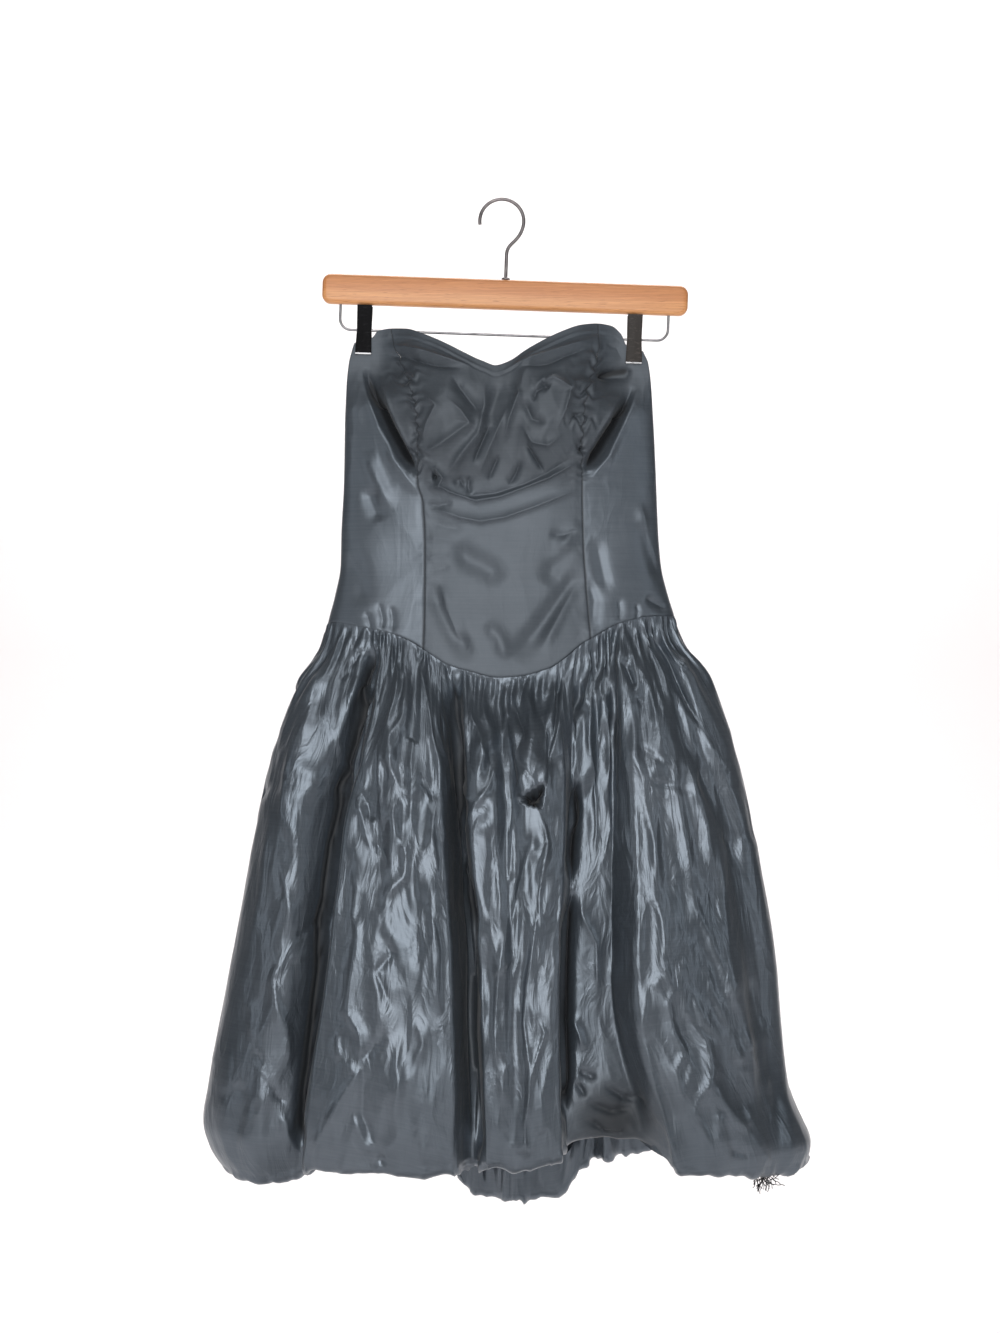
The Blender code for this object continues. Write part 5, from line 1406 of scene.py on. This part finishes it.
BACK_CREASES = [
    Crease([(-180, -440), (-205, -560), (-222, -680), (-236, -800), (-236, -920)], 3.4, 5, 7),
    Crease([(-150, -450), (-172, -560), (-196, -640)], 2.8, 5, 5),
    Crease([(-100, -450), (-114, -560), (-130, -680), (-142, -800), (-136, -930)], 3.6, 5, 6),
    Crease([(-80, -560), (-104, -660), (-112, -760)], -2.6, 4, 5),
    Crease([(-40, -450), (-34, -560), (-46, -680), (-40, -800), (-50, -900)], 3.4, 5, 5),
    Crease([(-8, -470), (-14, -600), (-24, -720), (-16, -860)], 3.0, 4, 6),
    Crease([(40, -450), (50, -560), (46, -680), (58, -800), (52, -940)], 3.4, 5, 6),
    Crease([(74, -520), (82, -640), (88, -760)], -2.4, 4, 4),
    Crease([(108, -450), (130, -560), (146, -680), (160, -800), (158, -930)], 3.6, 5, 6),
    Crease([(124, -600), (150, -700), (176, -790)], -2.4, 5, 4),
    Crease([(166, -450), (204, -560), (228, -680), (248, -800), (258, -900)], 3.2, 5, 5),
    Crease([(0, -600), (22, -612), (40, -606)], -2.0, 3, 3),
]


# One gathered fold in the middle of the front hangs over as a small flap, with a dark pocket under its lower
# edge.
FLAP_LEFT, FLAP_RIGHT = [(-3, -488), (8, -545), (15, -592)], [(51, -478), (46, -530), (42, -584)]
FLAP_TOP, FLAP_PROUD = -500, 6.5
POCKET = [(13, -594), (37, -601), (40, -579)]
POCKET_DEEP, POCKET_WALL = 24, 2.2


def flap_relief(x, z):
    left = down_table([p[1] for p in FLAP_LEFT], [p[0] for p in FLAP_LEFT], z)
    right = down_table([p[1] for p in FLAP_RIGHT], [p[0] for p in FLAP_RIGHT], z)
    (x0, z0), _, (x1, z1) = POCKET
    lower_edge = z0 + (x - x0) * (z1 - z0) / (x1 - x0)
    hangs = smooth((FLAP_TOP - z) / 70) * smooth((z - lower_edge) / 2)
    relief = FLAP_PROUD * hangs * smooth((x - left) / 6) * smooth((right - x) / 4)
    inside = np.full(x.shape, 1e9)
    for (ax, az), (bx, bz) in zip(POCKET, POCKET[1:] + POCKET[:1]):
        length = math.hypot(bx - ax, bz - az)
        inside = np.minimum(inside, ((bx - ax) * (z - az) - (bz - az) * (x - ax)) / length)
    return relief - POCKET_DEEP * smooth(inside / POCKET_WALL)


# Low between the middle and the right flute the cloth lies back under the crown. Its shade is painted.
Recess = namedtuple("Recess", "x z wide high")
RECESS, RECESS_SHADE = Recess(108, -902, 42, 38), 0.88

# The hidden back repeats every second crease of the front, seen in a mirror, but for the deep valleys.
FIRST_MIRRORED, DEEPEST_MIRRORED = 12, -5
for crease in FRONT_CREASES[FIRST_MIRRORED::2]:
    if crease.height > DEEPEST_MIRRORED:
        mirrored = [(-x, z) for x, z in crease.places]
        BACK_CREASES.append(Crease(mirrored, crease.height, crease.right_spread, crease.left_spread))


def at_heights(values, z):
    return down_table(FOLD_HEIGHTS, values, z)


def hollow_depth(hollow, x, z):
    left, right = at_heights(hollow.left_edge, z), at_heights(hollow.right_edge, z)
    share = np.where(x < left, (left - x) / hollow.left_flank, np.maximum(x - right, 0) / hollow.right_flank)
    return at_heights(hollow.depth, z) * (1 - smooth(share))


def strips_of(strips, u):
    """Which strip each column lies in, and how far across it."""
    ends = np.cumsum([0] + [strip.columns for strip in strips])
    column = u * ends[-1]
    number = clamp(np.searchsorted(ends, column, side="right") - 1, 0, len(strips) - 1)
    share = (column - ends[number]) / (ends[number + 1] - ends[number])
    return number, clamp(share), column


def skirt_form(side, strips, guides, hollows, u, z, drop):
    """The skirt's form at columns u and heights z: its section's points, the ways out, how far it stands."""
    number, share, column = strips_of(strips, u)
    section = section_at(SKIRT, z)
    bounds = np.stack([section.left] + [at_heights(path, z) for path in guides] + [section.right])
    picked = np.broadcast_to(number, z.shape)[None]
    start = angle_of(section, np.take_along_axis(bounds, picked, axis=0)[0])
    end = angle_of(section, np.take_along_axis(bounds, picked + 1, axis=0)[0])
    settled = smooth(drop / 130)
    crowded = 0.5 - 0.5 * np.cos(math.pi * share)
    spread = share + (crowded - share) * CROWDING * settled
    point, out = section_point(section, start + (end - start) * spread, side)
    stand = np.zeros(z.shape)
    for hollow in hollows:
        stand -= hollow_depth(hollow, point[..., 0], z)
    stand *= smooth(drop / 50)
    crowns = np.array([strip.crown for strip in strips])[number]
    stand += crowns * np.sin(math.pi * share) * settled
    uneven = wander(column * 7, drop, 26, 71 + side) * 0.55
    lively = 0.2 + 0.9 * smooth(0.5 + wander(column * 11, drop, 24, 83 + side))
    kept = 0.25 + 0.75 * smooth(0.5 + wander(column * 5, drop, 60, 79 + side))
    for gather in GATHERS:
        wave = np.cos(math.pi * column / gather.merged + uneven * gather.waver)
        wave *= smooth((drop - gather.start) / gather.rise) * (1 - smooth((drop - gather.end) / gather.fade))
        stand += gather.height * (lively if gather.merged == 1 else kept) * wave
    stand += SEAM_PUFF * smooth(drop / 24)
    return point, out, stand


def skirt_waist(strips, waist, u):
    number, share, _ = strips_of(strips, u)
    ends = [strip.seam_x for strip in strips] + [None]
    x = np.zeros(u.shape)
    for _ in range(EDGE_TRIES):
        section = section_at(BODICE, edge_height(waist, x))
        lefts = np.stack([section.left if e is None else np.full(u.shape, float(e)) for e in ends])
        rights = np.stack([section.right if e is None else np.full(u.shape, float(e)) for e in ends])
        start = angle_of(section, np.take_along_axis(lefts, number[None], axis=0)[0])
        end = angle_of(section, np.take_along_axis(rights, number[None] + 1, axis=0)[0])
        middle, half = (section.left + section.right) / 2, (section.right - section.left) / 2
        x = middle + half * np.sin(start + (end - start) * share)
    z = edge_height(waist, x)
    section = section_at(BODICE, z)
    return bodice_form(x, z, angle_of(section, x), FRONT if waist is FRONT_WAIST else BACK)[0]


def crush_share(crushes, x, z):
    """How crushed the cloth is at each place."""
    share = np.zeros(x.shape)
    for crush in crushes:
        middle = down_table([p[1] for p in crush.places], [p[0] for p in crush.places], z)
        top, low = crush.places[0][1], crush.places[-1][1]
        within = smooth((top + 30 - z) / 50) * smooth((z - low + 60) / 60)
        share = np.maximum(share, crush.depth * within * np.exp(-(((x - middle) / crush.half_width) ** 2)))
    return share


Skirt = namedtuple(
    "Skirt", "piece node side strips guides hollows waist hem crushes creases columns flat above seed"
)
SKIRTS = [
    Skirt("taffeta_skirt_front", "skirt_front", FRONT, FRONT_STRIPS, FRONT_GUIDES, FRONT_HOLLOWS, FRONT_WAIST,
          FRONT_HEM, FRONT_CRUSHES, FRONT_CREASES, 420, (0.82, 0.62), "taffeta_centre_front", 101),
    Skirt("taffeta_skirt_back", "skirt_back", BACK, BACK_STRIPS, BACK_GUIDES, BACK_HOLLOWS, BACK_WAIST,
          BACK_HEM, BACK_CRUSHES, BACK_CREASES, 360, (0.78, 0.64), "taffeta_back_left", 151),
]
SKIRT_ROWS = 200


def hem_turns(skirt, face, out, u):
    """The rows that roll round the hem and run up inside, in gathers."""
    _, share, column = strips_of(skirt.strips, u)
    turns = []
    for row in range(1, HEM_TURN_ROWS + 1):
        turn = 2 * row / HEM_TURN_ROWS
        if turn <= 1:
            roll = math.pi * turn
            spot = face[-1] - out[-1] * HEM_ROLL * (1 - math.cos(roll))
            spot = spot - np.array([0, 0, HEM_ROLL * math.sin(roll)])
        else:
            rise = turn - 1
            wave = HEM_GATHER * np.cos(math.pi * column) * (0.3 + 0.7 * np.sin(math.pi * share)) * rise
            spot = face[-1] - out[-1] * (2 * HEM_ROLL + HEM_ROLL_IN * rise + wave)[:, None]
            spot = spot + np.array([0, 0, HEM_RISE * rise])
        turns.append(spot)
    return turns


def skirt_face(skirt, u):
    """The skirt's smooth face from waist seam to hem, with the ways out and how far down each point is."""
    seam = skirt_waist(skirt.strips, skirt.waist, u)
    low = np.full((1, len(u)), -945.0)
    form = (skirt.side, skirt.strips, skirt.guides, skirt.hollows, u)
    hem_x = skirt_form(*form, low, low * 0 + HEM_SEARCH_DROP)[0][0, :, 0]
    top = seam[None, :, 2] - WAIST_GAP
    bottom = edge_height(skirt.hem, hem_x)[None, :] + HEM_ROLL
    z = top + (bottom - top) * np.linspace(0, 1, SKIRT_ROWS + 1)[:, None] ** ROW_CROWDING
    drop = top - z
    base, out, stand = skirt_form(*form, z, drop)
    face = base + out * stand[..., None]
    near = np.broadcast_to(seam[None], face.shape).copy()
    near[..., 2] = z
    near += out * (stand * smooth(drop / 3))[..., None]
    return near + (face - near) * smooth(drop / 60)[..., None], out, drop


def skirt_relief(skirt, s, down, hem_drop, x, height):
    """The crushed facets, by how crushed each stretch is, near the waist and near the hem."""
    seed = skirt.seed
    drift, swerve = wander(s, down, 70, seed), wander(s, down * 0.6, 34, seed + 1)
    crushed = crush_share(skirt.crushes, x, height)
    crushed[SKIRT_ROWS + 1 :] = 0.9
    at_waist, at_hem = np.exp(-((down / 95) ** 2)), smooth((down / hem_drop - 0.7) / 0.2)
    big = crumple(s + 10 * drift, down + 26 * swerve, 30, 96, seed + 2, 1.5) - 0.2
    small = crumple(s + 7 * swerve, down + 14 * drift, 13, 44, seed + 3, 1.7) - 0.2
    relief = big * (1.2 + 6.0 * crushed + 2.0 * at_hem)
    relief += small * (0.3 + 3.4 * crushed + 2.4 * at_waist + 1.5 * at_hem)
    relief += 2.2 * wander(s, down * 0.35, 42, seed + 5)
    hem_rows = np.exp(-(((down - hem_drop - HEM_ROLL) / HEM_PUCKER_TALL[skirt.side]) ** 2))
    relief += hem_rows * HEM_PUCKER[skirt.side] * np.sin(s / 3.4 + 5 * swerve)
    return relief, swerve


def skirt_sheet(skirt):
    """The grid of the skirt's front or back: down from the waist seam, round the hem's roll and up inside."""
    u = np.linspace(0, 1, skirt.columns + 1)
    face, out, drop = skirt_face(skirt, u)
    points = np.concatenate([face, np.stack(hem_turns(skirt, face, out, u))])
    turn_pitch = (HEM_ROLL * 2 + HEM_RISE) / HEM_TURN_ROWS * 1.2
    down = np.concatenate([drop, drop[-1:] + np.arange(1, HEM_TURN_ROWS + 1)[:, None] * turn_pitch])
    middle_row = face[SKIRT_ROWS * 3 // 5]
    across = np.concatenate([[0], np.cumsum(np.linalg.norm(np.diff(middle_row, axis=0), axis=1))])[None, :]
    s = np.broadcast_to(across, down.shape)
    x, height = points[..., 0], points[..., 2]
    normals = face_normals(points, skirt.side)
    relief, swerve = skirt_relief(skirt, s, down, drop[-1:], x, height)
    lines = crease_relief(skirt.creases, x + 2.0 * swerve, height)
    if skirt.side == FRONT:
        lines += flap_relief(x, height)
    lines[SKIRT_ROWS + 8 :] = 0
    from_edge = np.minimum(s, s[:, -1:] - s)
    stands = relief * smooth(down / 18) + lines * smooth(down / 6)
    points = points + normals * (stands * smooth(from_edge / 14))[..., None]
    keep_to_side(points, skirt.side)
    # Painted shade in the deep folds and along the side seams.
    painted_darkness = np.maximum(FOLD_DARKNESS * smooth(-(lines + 3.5) / 8), SEAM_DARKNESS * np.exp(-from_edge / 1.2))
    if skirt.side == FRONT:
        away = ((x - RECESS.x) / RECESS.wide) ** 2 + ((height - RECESS.z) / RECESS.high) ** 2
        painted_darkness = np.maximum(painted_darkness, RECESS_SHADE * np.exp(-away))
    return cloth_mesh(skirt.piece, points, across, down, skirt.side, painted_darkness)


skirt_taffeta = taffeta("skirt_taffeta", 0.72, 0.31, 0.3)
for skirt in SKIRTS:
    piece = add_piece(skirt.piece, skirt_sheet(skirt), skirt_taffeta, "dress", "taffeta", skirt.node)

# Frayed threads. A few black ends have worked loose from the hem on the right and hang in a tuft.
TUFT_PLACE, TUFT_ENDS, TUFT_THREAD = Vector((255, -62, -956)), 34, 0.75
front_points = bpy.data.objects["taffeta_skirt_front"].data.vertices
tuft_root = min((v.co / MM for v in front_points), key=lambda spot: (spot - TUFT_PLACE).length)
strands = bpy.data.curves.new("frayed_threads", "CURVE")
strands.dimensions = "3D"
strands.bevel_depth = TUFT_THREAD / 2 * MM
strands.bevel_resolution = 1
chance = np.random.default_rng(12)
for _ in range(TUFT_ENDS):
    spot = tuft_root + Vector((*chance.normal(0, (6, 1.5, 1.5)),))
    way = Vector((chance.normal(-0.1, 0.7), chance.normal(-0.3, 0.3), chance.normal(-0.7, 0.35))).normalized()
    thread = strands.splines.new("POLY")
    thread.points.add(7)
    for point in thread.points:
        point.co = (*(spot * MM), 1)
        spot = spot + way * chance.uniform(1.4, 2.8)
        way = (way + Vector((*chance.normal(0, 0.3, 3),)) + Vector((0, 0, -0.08))).normalized()
add_piece("frayed_threads", strands, nylon("black_thread", (0.006, 0.006, 0.007), 0.5), "dress", "taffeta")
